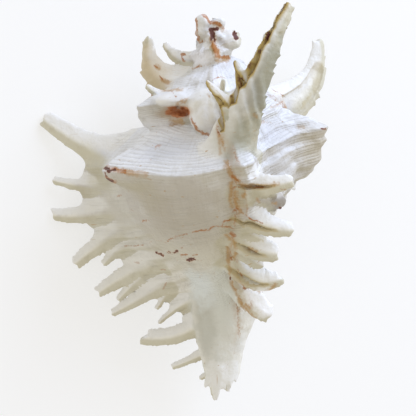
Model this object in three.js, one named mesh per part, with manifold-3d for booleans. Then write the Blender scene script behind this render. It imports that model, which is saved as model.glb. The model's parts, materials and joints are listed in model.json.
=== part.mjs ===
// Ramose murex shell: one dextral shell with its spire, frilled varices, open mouth and slit canal.
// Millimetres. The shell is drawn about its own coiling axis: z = 0 at the apex and falling towards
// the canal, x to the right and y away from someone who looks at its back. It is laid down last.

import * as THREE from 'three';
import { mergeVertices } from 'three/addons/utils/BufferGeometryUtils.js';
import Module from 'manifold-3d';

const wasm = await Module();
wasm.setup();

// Driving dimensions

// The lip stands in the half-plane at this angle. Going back from the lip, the angle grows.
const LIP_ANGLE = 170;

// How the shell grew: degrees back from the lip, shoulder radius, shoulder depth below the apex.
const GROWTH = [
  [0, 56, 75], [40, 53.5, 74.5], [75, 51, 75], [120, 47.5, 69.5], [180, 43.5, 61.5], [270, 38.5, 52],
  [360, 34, 45], [450, 27.5, 39.5], [540, 21.5, 34], [630, 17.5, 27.5], [720, 14.5, 21.5],
  [900, 11, 14.5], [1080, 9.5, 10.5], [1270, 7, 6.5],
];

// Heights below the shoulder shrink by this ratio in each whorl.
const WHORL_RATIO = 2.1;

// The ramp above the shoulder, as shares of the shoulder radius: radius, rise.
const RAMP = [[0.3, 0.5], [0.46, 0.42], [0.6, 0.35], [0.74, 0.24], [0.88, 0.11], [0.96, 0.035]];

// The wall below the shoulder at the lip: share of the shoulder radius, depth below the shoulder.
const WALL = [
  [1, 0], [0.985, 4], [0.95, 14], [0.89, 27], [0.8, 37], [0.68, 46], [0.54, 55], [0.41, 65],
  [0.31, 76], [0.23, 88], [0.17, 100],
];

// The mouth and the passage behind it, in the lip's half-plane: radius, height.
const MOUTH = [
  [50, -86], [49, -95], [45, -107], [39, -117], [31, -126], [22, -132], [13, -128], [9, -115],
  [9, -98], [13, -84], [24, -75], [37, -71], [46, -77],
];
const MOUTH_MIDDLE = { radius: 27, drop: 22 };
const PASSAGE_AHEAD = 24;
const PASSAGE_DEGREES = 290;
const PASSAGE_STEP = 12;
const PASSAGE_END = 0.8;

// Varices: degrees back from the lip, how far the crest stands out as a share of the radius.
const VARICES = [
  { at: 112, height: 0.15 }, { at: 225, height: 0.17 }, { at: 345, height: 0.2 },
  { at: 462, height: 0.2 }, { at: 580, height: 0.2 }, { at: 700, height: 0.2 },
  { at: 820, height: 0.2 }, { at: 940, height: 0.22 },
];
const VARIX_FRONT = 7;
const VARIX_BACK = 26;
const VARIX_ON_RAMP = { above: 0.3, share: 0.6 };
const VARIX_STATIONS = [-VARIX_FRONT, -1, 2, 6, 12];

// The edge of the lip's wing between its fronds: radius, height.
const WING_EDGE = [
  [44, -56], [57, -60], [68, -67], [75, -77], [77, -85], [77, -92], [74, -103], [72, -110], [66, -119],
  [57, -127], [51, -138], [40, -147], [31, -155], [24, -165], [21, -172], [18, -184],
];

// Knobs between the varices: degrees back from the lip, height as a share of the radius, half width
// in degrees, how far they run down the wall as a share of the radius.
const KNOBS = [
  { at: 37, height: 0.18, half: 24, down: 0.16 }, { at: 183, height: 0.26, half: 17, down: 0.62 },
  { at: 290, height: 0.08, half: 16, down: 0.4 }, { at: 388, height: 0.36, half: 16, down: 0.5 },
  { at: 421, height: 0.12, half: 12, down: 0.4 }, { at: 507, height: 0.22, half: 14, down: 0.3 },
  { at: 545, height: 0.26, half: 12, down: 0.2 }, { at: 635, height: 0.22, half: 13, down: 0.25 },
  { at: 735, height: 0.22, half: 13, down: 0.2 }, { at: 775, height: 0.2, half: 13, down: 0.2 },
  { at: 905, height: 0.3, half: 14, down: 0.2 },
];
const KNOB_UP = 0.16;

// Near the axis the wall swells less than at the shoulder.
const SWELL_NEAR_AXIS = 0.15;

// Fronds of the lip, in its half-plane: root, bend and tip as radius and height, width at the root
// and at the tip, and how far the tip curls back along the whorl.
const LIP_FRONDS = [
  { root: [50, -71], bend: [71, -65], tip: [93, -47.5], wide: [26, 8.5], back: -3 },
  { root: [66, -85], bend: [78, -84], tip: [90, -80], wide: [10, 4.5], back: 2 },
  { root: [64, -98], bend: [80, -101], tip: [94, -98], wide: [15, 6.5], back: 2 },
  { root: [56, -108], bend: [70, -116], tip: [82, -125], wide: [16, 7], back: 5 },
  { root: [55, -117], bend: [62, -121], tip: [67.5, -127], wide: [9, 4], back: 2 },
  { root: [43, -127], bend: [58, -133], tip: [71, -141], wide: [17, 6.5], back: 6 },
  { root: [50, -136], bend: [56, -141], tip: [61, -146], wide: [8, 3.5], back: 3 },
  { root: [38, -139], bend: [51, -147], tip: [64, -152], wide: [13, 4.5], back: 7 },
  { root: [34, -143], bend: [38, -148], tip: [41, -152], wide: [6, 2.5], back: 2 },
  { root: [26, -149], bend: [34, -154], tip: [40, -159], wide: [7, 2.5], back: 4 },
  { root: [14, -157], bend: [32, -171], tip: [50, -164], wide: [12, 9], back: 8 },
  { root: [12, -174], bend: [24, -180], tip: [35, -183], wide: [9, 3.5], back: 4 },
  { root: [12, -185], bend: [17, -189], tip: [21, -191], wide: [6, 2.5], back: 1 },
];

// Fronds of the other varices: root, bend and tip as x, y and z, width at the root and at the tip.
// The ones that were the lip one growth stage ago curl back over the older whorl.
const BACK_FRONDS = [
  { root: [4, -38, -64], bend: [12, -54, -36], tip: [36, -45, 2], wide: [24, 5] },
  { root: [8, -44, -52], bend: [2, -47, -40], tip: [-6, -44, -31], wide: [13, 3] },
  { root: [14, -46, -40], bend: [11, -48, -31], tip: [8, -46, -22], wide: [13, 3] },
  { root: [6, -42, -80], bend: [18, -54, -83], tip: [32, -50, -80], wide: [11, 5] },
  { root: [9, -36, -88], bend: [20, -42, -92], tip: [28, -36, -90], wide: [15, 9] },
  { root: [6, -36, -95], bend: [17, -47, -103], tip: [31, -44, -105], wide: [13, 4] },
  { root: [6, -32, -107], bend: [14, -40, -114], tip: [23, -37, -119], wide: [13, 5] },
  { root: [4, -20, -122], bend: [13, -32, -132], tip: [24, -28, -135], wide: [14, 5] },
  { root: [1, -10, -132], bend: [8, -24, -146], tip: [18.5, -22, -152.5], wide: [17, 9] },
];
const RIGHT_FRONDS = [
  { root: [31, 22, -55], bend: [59, 41, -46], tip: [57, 39.5, -19], wide: [27, 5], full: 1 },
  { root: [34, 18, -58], bend: [44, 20, -56], tip: [51, 18, -54.5], wide: [6, 3] },
  { root: [24, 20, -66], bend: [38, 36, -70], tip: [43, 53, -66], wide: [13, 6] },
  { root: [24, 17, -78], bend: [36, 24, -86], tip: [34, 27, -98], wide: [16, 11] },
  { root: [16, 16, -88], bend: [26, 34, -100], tip: [34, 47.7, -100], wide: [12, 5.5] },
  { root: [10, 9, -94], bend: [22, 20, -110], tip: [26, 28, -116], wide: [11, 5] },
];
const SPIRE_FRONDS = [
  { root: [-17, 6, -37], bend: [-39, 8, -30], tip: [-33, 4, -9.5], wide: [17, 6], full: 1 },
  { root: [-26, -4, -40], bend: [-31, -8, -38], tip: [-35, -10, -33], wide: [8, 3] },
  { root: [-20, 12, -52], bend: [-30, 17, -56], tip: [-36, 20, -54], wide: [9, 4] },
  { root: [1, -18, -40], bend: [2, -31, -40], tip: [3, -34, -31], wide: [12, 4] },
  { root: [12, 8, -34], bend: [24, 14, -32], tip: [27, 17, -22], wide: [10, 3.5] },
  { root: [-9, 4, -23], bend: [-22, 5, -22], tip: [-25.5, 4, -13], wide: [7, 2.5] },
  { root: [-1, -7, -18], bend: [-1, -13, -18], tip: [0, -15, -12], wide: [5, 2] },
  { root: [5, -1, -12], bend: [10, -1, -13], tip: [12, -1, -11], wide: [4, 2.5] },
];

// The canal below the mouth: height, middle x, middle y, half width, half thickness.
const CANAL = [
  [-104, 3, 1, 6, 6], [-118, 1.5, 1, 11, 9], [-131, -0.5, 0.5, 15.5, 11], [-143, -3, 0, 17.5, 10.5],
  [-156, -5.5, -1, 16.5, 9], [-168, -7, -2, 13.5, 7.5],
  [-178, -8, -3.5, 11, 6], [-188, -8.5, -5.5, 8.5, 4.5], [-194, -9, -7, 6.5, 3],
];
const CANAL_TEETH = [
  { root: [-11, -5, -190], bend: [-12, -7, -195], tip: [-13, -8, -200], wide: [6, 2] },
  { root: [-5, -5, -189], bend: [-4, -6, -193], tip: [-3.5, -7, -196], wide: [5, 2] },
];
const SLIT_WIDTH = 4.5;
const SLIT_HEIGHTS = [-122, -134, -146, -158, -170, -180, -190];
const SLIT_START_X = -6.5;
const SLIT_REACH = 30;

// The axis inside the whorls is solid: radius, height.
const COLUMELLA = [[0, -7], [4.2, -8], [4.6, -20], [6, -34], [6, -100], [3, -148], [0, -150]];
const AXIS_GAP = 0.8;

// The rounded lobe of the whorl before, under which the suture dips, and the whorls at the apex.
const LOBE = { middle: [-9, -25, -48], radii: [7, 10, 9.5] };
const FIRST_WHORLS = { middle: [-1.5, 0, -6.5], radii: [7.5, 7, 6.5] };

// The whorls from the lip back, in degrees: sections this far apart, rows of the wall that show.
// Each length starts a little under the skin of the one before.
const WHORLS = [
  { from: 0, to: 340, step: 10, rows: WALL.length, tucked: 0 },
  { from: 330, to: 660, step: 14, rows: 7, tucked: 10 },
  { from: 650, to: 960, step: 15, rows: 6, tucked: 10 },
  { from: 950, to: 1270, step: 20, rows: 5, tucked: 10 },
];
const TUCK = 0.6;

// A frond's section has six sides, and is this thick as a share of its width.
const FROND_THICKNESS = 0.42;
const FROND_STEPS = 4;
const FROND_SIDES = 6;
const LIP_FROND_BACK = 1.5;
const CANAL_SIDES = 12;

// How the shell lies on a table, mouth down: turns about its length and about its width.
const REST_ROLL = -14.4;
const REST_PITCH = 5;

// Numbers along the spiral

const radians = THREE.MathUtils.degToRad;

// A smooth curve through a table's rows, read at a value of the first column.
function along(table, value, column) {
  const last = table.length - 1;
  const x = THREE.MathUtils.clamp(value, table[0][0], table[last][0]);
  let i = 0;
  while (i < last - 1 && x > table[i + 1][0]) i += 1;
  const span = table[i + 1][0] - table[i][0];
  const slope = (j) => {
    const a = table[Math.max(j - 1, 0)];
    const b = table[Math.min(j + 1, last)];
    return (b[column] - a[column]) / (b[0] - a[0]);
  };
  const t = (x - table[i][0]) / span;
  const p = table[i][column];
  const q = table[i + 1][column];
  return p + (3 * t * t - 2 * t * t * t) * (q - p)
    + span * t * (1 - t) * ((1 - t) * slope(i) - t * slope(i + 1));
}

const radiusAt = (back) => along(GROWTH, back, 1);
const depthAt = (back) => along(GROWTH, back, 2);
const shrinkAt = (back) => WHORL_RATIO ** (-Math.max(back, 0) / 360);

// Straight lines between rows of [radius, height], read at a height.
function edgeAt(rows, height) {
  if (height > rows[0][1] || height < rows[rows.length - 1][1]) return 0;
  let i = 0;
  while (height < rows[i + 1][1]) i += 1;
  const t = (rows[i][1] - height) / (rows[i][1] - rows[i + 1][1]);
  return THREE.MathUtils.lerp(rows[i][0], rows[i + 1][0], t);
}

// A point of the half-plane that lies so many degrees back from the lip.
function place(back, radius, height, tangential = 0) {
  const angle = radians(LIP_ANGLE + back);
  const x = radius * Math.cos(angle) - tangential * Math.sin(angle);
  const y = radius * Math.sin(angle) + tangential * Math.cos(angle);
  return new THREE.Vector3(x, y, height);
}

// Swelling of the wall by knobs and varices, as a share of the shoulder radius.
function swell(back, below) {
  let share = 0;
  for (const knob of KNOBS) {
    const off = Math.abs(back - knob.at) / knob.half;
    if (off < 1) {
      const reach = below < 0 ? KNOB_UP : knob.down;
      share += knob.height * Math.cos(off * Math.PI / 2) ** 2 * Math.exp(-((below / reach) ** 4));
    }
  }
  for (const varix of VARICES) {
    const u = back - varix.at;
    const shape = u < 0 ? 1 + u / VARIX_FRONT : (1 - u / VARIX_BACK) ** 2;
    const damp = below < -VARIX_ON_RAMP.above ? VARIX_ON_RAMP.share : 1;
    if (u > -VARIX_FRONT && u < VARIX_BACK) share += varix.height * shape * damp;
  }
  return share;
}

// One section of the whorl in its half-plane, from the axis over the ramp and down the wall.
function section(back, rows, inset = 0) {
  const R = radiusAt(back);
  const top = -depthAt(back);
  const shrink = shrinkAt(back);
  const points = RAMP.map(([share, rise]) => [share * R, top + rise * R, -rise]);
  for (const [share, drop] of WALL.slice(0, rows)) {
    points.push([share * R, top - drop * shrink, drop * shrink / R]);
  }
  const wing = back < VARIX_BACK ? (1 - back / VARIX_BACK) ** 3 : 0;
  const outline = points.map(([radius, height, below]) => {
    const wall = radius + R * swell(back, below) * Math.min(1, radius / R + SWELL_NEAR_AXIS);
    return [Math.max(wall, wall + (edgeAt(WING_EDGE, height) - wall) * wing) - inset, height - inset];
  });
  outline.unshift([AXIS_GAP, outline[0][1]]);
  outline.push([AXIS_GAP, outline[outline.length - 1][1]]);
  return outline;
}

// Solids

// Joins rings of points into one closed surface, with flat ends.
function loft(rings) {
  const count = rings[0].length;
  const positions = rings.flat().flatMap((p) => [p.x, p.y, p.z]);
  const faces = [];
  for (let i = 0; i < rings.length - 1; i += 1) {
    for (let j = 0; j < count; j += 1) {
      const a = i * count + j;
      const b = i * count + ((j + 1) % count);
      faces.push(a, b, b + count, a, b + count, a + count);
    }
  }
  const ends = [[rings[0], 0, true], [rings[rings.length - 1], (rings.length - 1) * count, false]];
  for (const [ring, offset, turned] of ends) {
    for (const [a, b, c] of capFaces(ring)) {
      if (turned) faces.push(offset + a, offset + c, offset + b);
      else faces.push(offset + a, offset + b, offset + c);
    }
  }
  const geometry = new THREE.BufferGeometry();
  geometry.setAttribute('position', new THREE.Float32BufferAttribute(positions, 3));
  geometry.setIndex(faces);
  return geometry;
}

// Triangles that fill a flat ring, turned the way that the ring runs.
function capFaces(ring) {
  const normal = new THREE.Vector3();
  ring.forEach((p, i) => normal.add(p.clone().cross(ring[(i + 1) % ring.length])));
  normal.normalize();
  const u = ring[1].clone().sub(ring[0]).projectOnPlane(normal).normalize();
  const v = normal.clone().cross(u);
  const flat = ring.map((p) => new THREE.Vector2(p.dot(u), p.dot(v)));
  return THREE.ShapeUtils.triangulateShape(flat, []);
}

// A geometry as a manifold solid with its faces pointing out.
function solid(geometry) {
  const bare = geometry.clone();
  bare.deleteAttribute('normal');
  bare.deleteAttribute('uv');
  const merged = mergeVertices(bare, 1e-4);
  const spots = merged.attributes.position.array;
  const faces = Array.from(merged.index.array);
  let volume = 0;
  for (let i = 0; i < faces.length; i += 3) {
    const [a, b, c] = [0, 1, 2].map((k) => new THREE.Vector3().fromArray(spots, faces[i + k] * 3));
    volume += a.dot(b.cross(c));
  }
  if (volume < 0) {
    for (let i = 0; i < faces.length; i += 3) [faces[i], faces[i + 1]] = [faces[i + 1], faces[i]];
  }
  const mesh = new wasm.Mesh({
    numProp: 3, vertProperties: new Float32Array(spots), triVerts: new Uint32Array(faces),
  });
  return new wasm.Manifold(mesh);
}

// The degrees at which sections are cut: evenly, and closer where a varix rises.
function stations(from, to, step) {
  const cuts = new Set([from, to]);
  for (let back = from; back < to - step / 2; back += step) cuts.add(back);
  const crests = [{ at: 0 }, ...VARICES];
  for (const { at } of crests) {
    for (const near of VARIX_STATIONS) {
      const back = at + near;
      if (back > from && back < to) cuts.add(back);
    }
  }
  const sorted = [...cuts].sort((a, b) => a - b);
  return sorted.filter((back, i) => i === 0 || i === sorted.length - 1 || back - sorted[i - 1] > 1.5);
}

function whorl({ from, to, step, rows, tucked }) {
  const rings = stations(from, to, step).map((back) => {
    const inset = back < from + tucked ? TUCK : 0;
    return section(back, rows, inset).map(([radius, height]) => place(back, radius, height));
  });
  return loft(rings);
}

// A leaf-like frond: a flattened section along a curve, blunt at the tip.
function frond(root, bend, tip, wide, side, full = 0.5) {
  const curve = new THREE.QuadraticBezierCurve3(root, bend, tip);
  const rings = [];
  for (let i = 0; i <= FROND_STEPS; i += 1) {
    const t = i / FROND_STEPS;
    const forward = curve.getTangent(t);
    const across = side.clone().cross(forward).normalize();
    const through = forward.clone().cross(across);
    const half = THREE.MathUtils.lerp(wide[0], wide[1], t ** full) / 2;
    const middle = curve.getPoint(t);
    rings.push(frondSection(middle, across, through, half));
  }
  return loft(rings);
}

function frondSection(middle, across, through, half) {
  const ring = [];
  for (let k = 0; k < FROND_SIDES; k += 1) {
    const angle = k * 2 * Math.PI / FROND_SIDES;
    ring.push(middle.clone()
      .addScaledVector(across, half * Math.cos(angle))
      .addScaledVector(through, half * FROND_THICKNESS * Math.sin(angle)));
  }
  return ring;
}

function lipFrond({ root, bend, tip, wide, back }) {
  const side = place(0, 0, 0, 1);
  const start = place(0, ...root, LIP_FROND_BACK);
  return frond(start, place(0, ...bend, LIP_FROND_BACK), place(0, ...tip, back), wide, side);
}

// A frond that stands out from its varix is flat along the whorl; one that curls back is flat outward.
function standingFrond({ root, bend, tip, wide, full }) {
  const [a, b, c] = [root, bend, tip].map((p) => new THREE.Vector3(...p));
  const outward = new THREE.Vector3(a.x, a.y, 0).normalize();
  return frond(a, b, c, wide, new THREE.Vector3(-outward.y, outward.x, 0), full);
}

function curledFrond({ root, bend, tip, wide }) {
  const [a, b, c] = [root, bend, tip].map((p) => new THREE.Vector3(...p));
  return frond(a, b, c, wide, new THREE.Vector3(a.x, a.y, 0).normalize());
}

function canal() {
  const rings = CANAL.map(([height, x, y, half, thick]) => {
    const ring = [];
    for (let k = 0; k < CANAL_SIDES; k += 1) {
      const angle = k * 2 * Math.PI / CANAL_SIDES;
      ring.push(new THREE.Vector3(x + half * Math.cos(angle), y + thick * Math.sin(angle), height));
    }
    return ring;
  });
  return loft(rings);
}

// The hollow: the mouth's outline carried back along the spiral, shrinking with the whorls.
function passage() {
  const rings = [];
  for (let back = -PASSAGE_AHEAD; back <= PASSAGE_DEGREES; back += PASSAGE_STEP) {
    const wide = radiusAt(back) / radiusAt(0);
    const shrink = shrinkAt(back);
    const end = back > PASSAGE_DEGREES - 2 * PASSAGE_STEP ? PASSAGE_END : 1;
    const middle = [MOUTH_MIDDLE.radius * wide, -depthAt(back) - MOUTH_MIDDLE.drop * shrink];
    rings.push(MOUTH.map(([radius, height]) => {
      const r = radius * wide;
      const h = -depthAt(back) + (height + depthAt(0)) * shrink;
      return place(back, middle[0] + (r - middle[0]) * end, middle[1] + (h - middle[1]) * end);
    }));
  }
  return loft(rings);
}

// The canal's slit, cut from the mouth side.
function slit() {
  const rows = CANAL.map(([height, x, y]) => [height, x, y]);
  rows.reverse();
  const corners = [[-1, 0], [1, 0], [1, SLIT_REACH], [-1, SLIT_REACH]];
  const rings = SLIT_HEIGHTS.map((height, i) => {
    const x = i === 0 ? SLIT_START_X : along(rows, height, 1);
    const y = along(rows, height, 2) + 1;
    return corners.map(([side, out]) => (
      new THREE.Vector3(x + side * SLIT_WIDTH / 2, y + out, height)
    ));
  });
  return loft(rings);
}

function columella() {
  const profile = COLUMELLA.map(([radius, height]) => new THREE.Vector2(radius, height));
  return new THREE.LatheGeometry(profile, 10).rotateX(Math.PI / 2);
}

function ball({ middle, radii }) {
  return new THREE.SphereGeometry(1, 9, 7).scale(...radii).translate(...middle);
}

function shellSolid() {
  const pieces = [
    ...WHORLS.map(whorl),
    ball(FIRST_WHORLS),
    ball(LOBE),
    columella(),
    canal(),
    ...LIP_FRONDS.map(lipFrond),
    ...[...RIGHT_FRONDS, ...SPIRE_FRONDS].map(standingFrond),
    ...[...BACK_FRONDS, ...CANAL_TEETH].map(curledFrond),
  ];
  const whole = pieces.map(solid).reduce((sum, piece) => sum.add(piece));
  return whole.subtract(solid(passage())).subtract(solid(slit()));
}

// The finished piece, laid down with the origin at the middle of the box's bottom

function toGeometry(manifold) {
  const { vertProperties, triVerts } = manifold.getMesh();
  const geometry = new THREE.BufferGeometry();
  geometry.setAttribute('position', new THREE.Float32BufferAttribute(vertProperties, 3));
  geometry.setIndex(Array.from(triVerts));
  return geometry;
}

const geometry = toGeometry(shellSolid());
geometry.computeVertexNormals();

const material = new THREE.MeshStandardMaterial({ color: 0xe6e2d8, roughness: 0.55, metalness: 0 });
const shell = new THREE.Mesh(geometry, material);
shell.name = 'shell';
shell.rotateX(radians(REST_PITCH));
shell.rotateY(radians(REST_ROLL));
shell.rotateX(-Math.PI / 2);
shell.updateMatrixWorld(true);
const box = new THREE.Box3().setFromObject(shell, true);
shell.position.set(-(box.min.x + box.max.x) / 2, -(box.min.y + box.max.y) / 2, -box.min.z);

const model = new THREE.Group();
model.add(shell);

export default model;
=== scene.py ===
# %% [markdown]
# # A ramose murex shell
#
# A murex grows its shell along a spiral. Every third of a turn it pauses and builds a varix, a thick rib
# whose edge runs out into frilled fronds. The shell is one piece, so it is made here as one distance
# field: a rule that says for any point how far it is from the shell's skin. Whorls, varices, fronds,
# the mouth's hollow and the canal are all added to or cut from that field, so they grow into each other
# as they do on the real thing. A mesh is then drawn over the field where it is zero. The whorls could
# also be swept and the fronds set on by hand, but then every joint between them would have to be hidden.
#
# The cells below go from the growth numbers to the field, the mesh, the finish, the camera and the light.

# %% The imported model
import json
import math
import time

import bpy
import numpy as np
from mathutils import Matrix, Vector

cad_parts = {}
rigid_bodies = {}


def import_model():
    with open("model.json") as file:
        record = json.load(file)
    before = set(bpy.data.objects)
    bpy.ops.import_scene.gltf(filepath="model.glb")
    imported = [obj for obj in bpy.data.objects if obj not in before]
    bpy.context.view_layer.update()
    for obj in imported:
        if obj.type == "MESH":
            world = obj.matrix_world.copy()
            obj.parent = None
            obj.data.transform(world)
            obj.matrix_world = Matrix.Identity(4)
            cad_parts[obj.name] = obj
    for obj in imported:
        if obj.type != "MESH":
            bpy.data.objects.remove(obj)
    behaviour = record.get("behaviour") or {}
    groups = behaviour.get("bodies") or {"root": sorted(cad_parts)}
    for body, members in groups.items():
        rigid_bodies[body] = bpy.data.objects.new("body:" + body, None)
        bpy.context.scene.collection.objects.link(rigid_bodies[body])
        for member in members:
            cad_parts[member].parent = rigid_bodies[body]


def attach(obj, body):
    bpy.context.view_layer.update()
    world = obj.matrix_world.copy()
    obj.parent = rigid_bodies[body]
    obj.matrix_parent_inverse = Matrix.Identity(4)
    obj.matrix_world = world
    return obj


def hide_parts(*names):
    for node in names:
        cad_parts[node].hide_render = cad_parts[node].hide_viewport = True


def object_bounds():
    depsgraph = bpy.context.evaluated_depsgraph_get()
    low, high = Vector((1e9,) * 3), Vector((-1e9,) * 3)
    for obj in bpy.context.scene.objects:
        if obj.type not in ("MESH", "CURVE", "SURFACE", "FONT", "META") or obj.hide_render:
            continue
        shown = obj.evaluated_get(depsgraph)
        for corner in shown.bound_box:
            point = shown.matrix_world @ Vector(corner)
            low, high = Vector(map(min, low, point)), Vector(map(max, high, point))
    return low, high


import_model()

CAD_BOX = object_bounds()
STARTED = time.time()


def so_far():
    """The seconds since the script started, for the printed lines."""
    return round(time.time() - STARTED, 1)


print("CAD box in metres:", CAD_BOX)

# %% [markdown]
# ## Two frames
#
# The shell is drawn about its own coiling axis, in millimetres: z is 0 at the apex and falls towards the
# canal, x runs to the right and y away from someone who looks at its back. It lies on a table mouth
# down, so one fixed turn and shift carries every point to the row's frame, in metres.

# %% From the shell's frame to the row's
def turn(axis, degrees):
    return np.array(Matrix.Rotation(math.radians(degrees), 3, axis))


REST_TURN = turn("X", 5) @ turn("Y", -14.4) @ turn("X", -90)
REST_SHIFT = np.array([9.217, 99.897, 47.143])


def to_row(points):
    """Millimetres about the coiling axis to metres in the row's frame."""
    return (np.asarray(points) @ REST_TURN.T + REST_SHIFT) / 1000


print("apex in the row's frame:", to_row([0, 0, 0]).round(4))

# %% [markdown]
# ## How the shell grew
#
# The growing edge is the lip. Every place on the whorls is named by how many degrees it lies back from
# the lip. GROWTH gives the size of the whorl there: the radius of its shoulder and the shoulder's depth
# below the apex, in mm. RAMP and WALL are the profile of a whorl, which keeps its form as it grows. RAMP
# rises from the shoulder to the spire, and WALL falls from it to the canal. Each of their rows is a
# height and how far out the skin lies there, as a share of the shoulder's radius.

# %% The growth and the profile of a whorl
LIP_ANGLE = 170
OLDEST = 1270
WHORL_RATIO = 2.1
LIP_RADIUS = 56
LIP_DEPTH = 75
GROWTH = [
    (0, LIP_RADIUS, LIP_DEPTH), (25, 54.5, 72.5), (40, 53.5, 72), (75, 51, 74.5), (120, 47.5, 69.5),
    (180, 43.5, 61.5), (270, 38.5, 52), (360, 34, 45), (450, 27.5, 39.5), (540, 21.5, 34), (630, 17.5, 27.5),
    (720, 14.5, 21.5), (900, 11, 14.5), (1080, 9.5, 10.5), (1270, 7, 6.5),
]
RAMP = [
    (0, 1), (0.035, 0.96), (0.11, 0.88), (0.24, 0.74), (0.35, 0.6), (0.42, 0.46), (0.5, 0.3), (0.58, 0.02),
    (0.7, -0.5),
]
WALL = [
    (0, 1), (4, 0.985), (14, 0.95), (27, 0.89), (37, 0.8), (46, 0.68), (55, 0.54), (65, 0.41), (76, 0.31),
    (88, 0.23), (100, 0.17), (112, 0.02), (124, -0.3),
]
print("rows of growth:", len(GROWTH), "of the ramp:", len(RAMP), "of the wall:", len(WALL))

# %% A smooth curve through a table's rows
def smooth_row(rows, column, spots):
    """A smooth curve through a table's rows, read at the values of its first column."""
    rows = np.array(rows, float)
    x, v = rows[:, 0], rows[:, column]
    spots = np.clip(spots, x[0], x[-1])
    i = np.clip(np.searchsorted(x, spots, side="right") - 1, 0, len(x) - 2)
    slope = np.empty(len(x))
    slope[1:-1] = (v[2:] - v[:-2]) / (x[2:] - x[:-2])
    slope[0] = (v[1] - v[0]) / (x[1] - x[0])
    slope[-1] = (v[-1] - v[-2]) / (x[-1] - x[-2])
    span = x[i + 1] - x[i]
    t = (spots - x[i]) / span
    blend = 3 * t ** 2 - 2 * t ** 3
    ease = span * t * (1 - t) * ((1 - t) * slope[i] - t * slope[i + 1])
    return v[i] + blend * (v[i + 1] - v[i]) + ease


print("the shoulder's radius half a turn back, mm:", smooth_row(GROWTH, 1, np.array([180.0])))

# %% The tables, read finely enough to look up
BACKS = np.arange(-90, OLDEST + 60, 0.5)
RADIUS = smooth_row(GROWTH, 1, BACKS)
DEPTH = smooth_row(GROWTH, 2, BACKS)
SHRINK = WHORL_RATIO ** (-np.maximum(BACKS, 0) / 360)
RISES = np.linspace(0, 0.7, 240)
DROPS = np.linspace(0, 124, 440)
RAMP_SHARE = smooth_row(RAMP, 1, RISES)
WALL_SHARE = smooth_row(WALL, 1, DROPS)
RAMP_ARC = LIP_RADIUS * np.concatenate([[0], np.cumsum(np.hypot(np.diff(RISES), np.diff(RAMP_SHARE)))])
WALL_ARC = np.concatenate([[0], np.cumsum(np.hypot(np.diff(DROPS), LIP_RADIUS * np.diff(WALL_SHARE)))])
print("whorls:", round(OLDEST / 360, 1), "widest radius, mm:", RADIUS.max())

# %% [markdown]
# ## Varices, knobs and ribs
#
# A varix stands up steeply on the side that faced the growing edge and dies away behind it. Between
# varices the shoulder swells into knobs. Low spiral ribs run round the whorl, and each one ends in a
# frond at every varix. All of them are swellings of the profile, so they are tables too.
#
# A row of VARICES is the degrees back from the lip and the height as a share of the radius. A row of
# KNOBS is the degrees back, the height, half the knob's length in degrees and how far down it reaches.
# RIB_DROPS is how far below the shoulder each rib runs, and RIB_STRENGTH how high the ribs are, in mm.

# %% Varices, knobs and spiral ribs
VARICES = [(112, 0.15), (225, 0.17), (345, 0.2), (462, 0.2), (580, 0.2), (700, 0.2), (820, 0.2), (940, 0.22)]
VARIX_FRONT = 7
VARIX_BACK = 26
KNOBS = [
    (37, 0.18, 24, 0.16), (183, 0.26, 17, 0.62), (290, 0.08, 16, 0.4), (388, 0.36, 16, 0.5),
    (421, 0.12, 12, 0.4), (507, 0.22, 14, 0.3), (545, 0.26, 12, 0.2), (635, 0.22, 13, 0.25),
    (735, 0.22, 13, 0.2), (775, 0.2, 13, 0.2), (905, 0.3, 14, 0.2),
]
KNOB_UP = 0.16
RIB_DROPS = [-34, -26, -18, -9, 0, 10.5, 23, 33, 42, 52, 62, 74, 86, 98, 112]
RIB_STRENGTH = [
    (-90, 0.5), (0, 0.5), (12, 0.35), (30, 0.12), (90, 0.1), (100, 0.3), (112, 1.0), (125, 1.1), (150, 1.2),
    (183, 1.5), (200, 1.0), (225, 1.0), (260, 0.6), (320, 0.7), (345, 1.0), (400, 0.5), (1330, 0.5),
]
print("varices:", len(VARICES), "knobs:", len(KNOBS), "ribs:", len(RIB_DROPS))

# %% How far they swell the whorl, at every place on it
VARIX_SWELL = np.zeros(len(BACKS))
for at, height in VARICES:
    u = BACKS - at
    front = np.clip(1 + u / VARIX_FRONT, 0, 1)
    front = front * front * (3 - 2 * front)
    behind = np.clip(1 - u / VARIX_BACK, 0, 1) ** 2
    VARIX_SWELL += height * np.where(u < 0, front, behind)
KNOB_SWELL = np.zeros(len(BACKS))
KNOB_DOWN = np.full(len(BACKS), 0.3)
for at, height, half, down in KNOBS:
    off = np.abs(BACKS - at) / half
    swelling = np.where(off < 1, height * np.cos(np.minimum(off, 1) * math.pi / 2) ** 2, 0)
    KNOB_DOWN = np.where(swelling > KNOB_SWELL, down, KNOB_DOWN)
    KNOB_SWELL = KNOB_SWELL + swelling
RIB_HEIGHT = smooth_row(RIB_STRENGTH, 1, BACKS)
print("highest varix and knob, of the radius:", VARIX_SWELL.max().round(2), KNOB_SWELL.max().round(2))

# %% [markdown]
# ## Wear, lean and the lip's wing
#
# The oldest parts are worn. The spire's knobs and a stretch of the body's shoulder are rounded off, by a
# share of the radius that WORN gives at each place. A varix doesn't run straight down the whorl either:
# LEAN says by how many degrees it is shifted at each distance below the shoulder. The newest varix is
# the lip itself, still a thin wing, and WING_EDGE gives its outline as a height and a radius.

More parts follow.
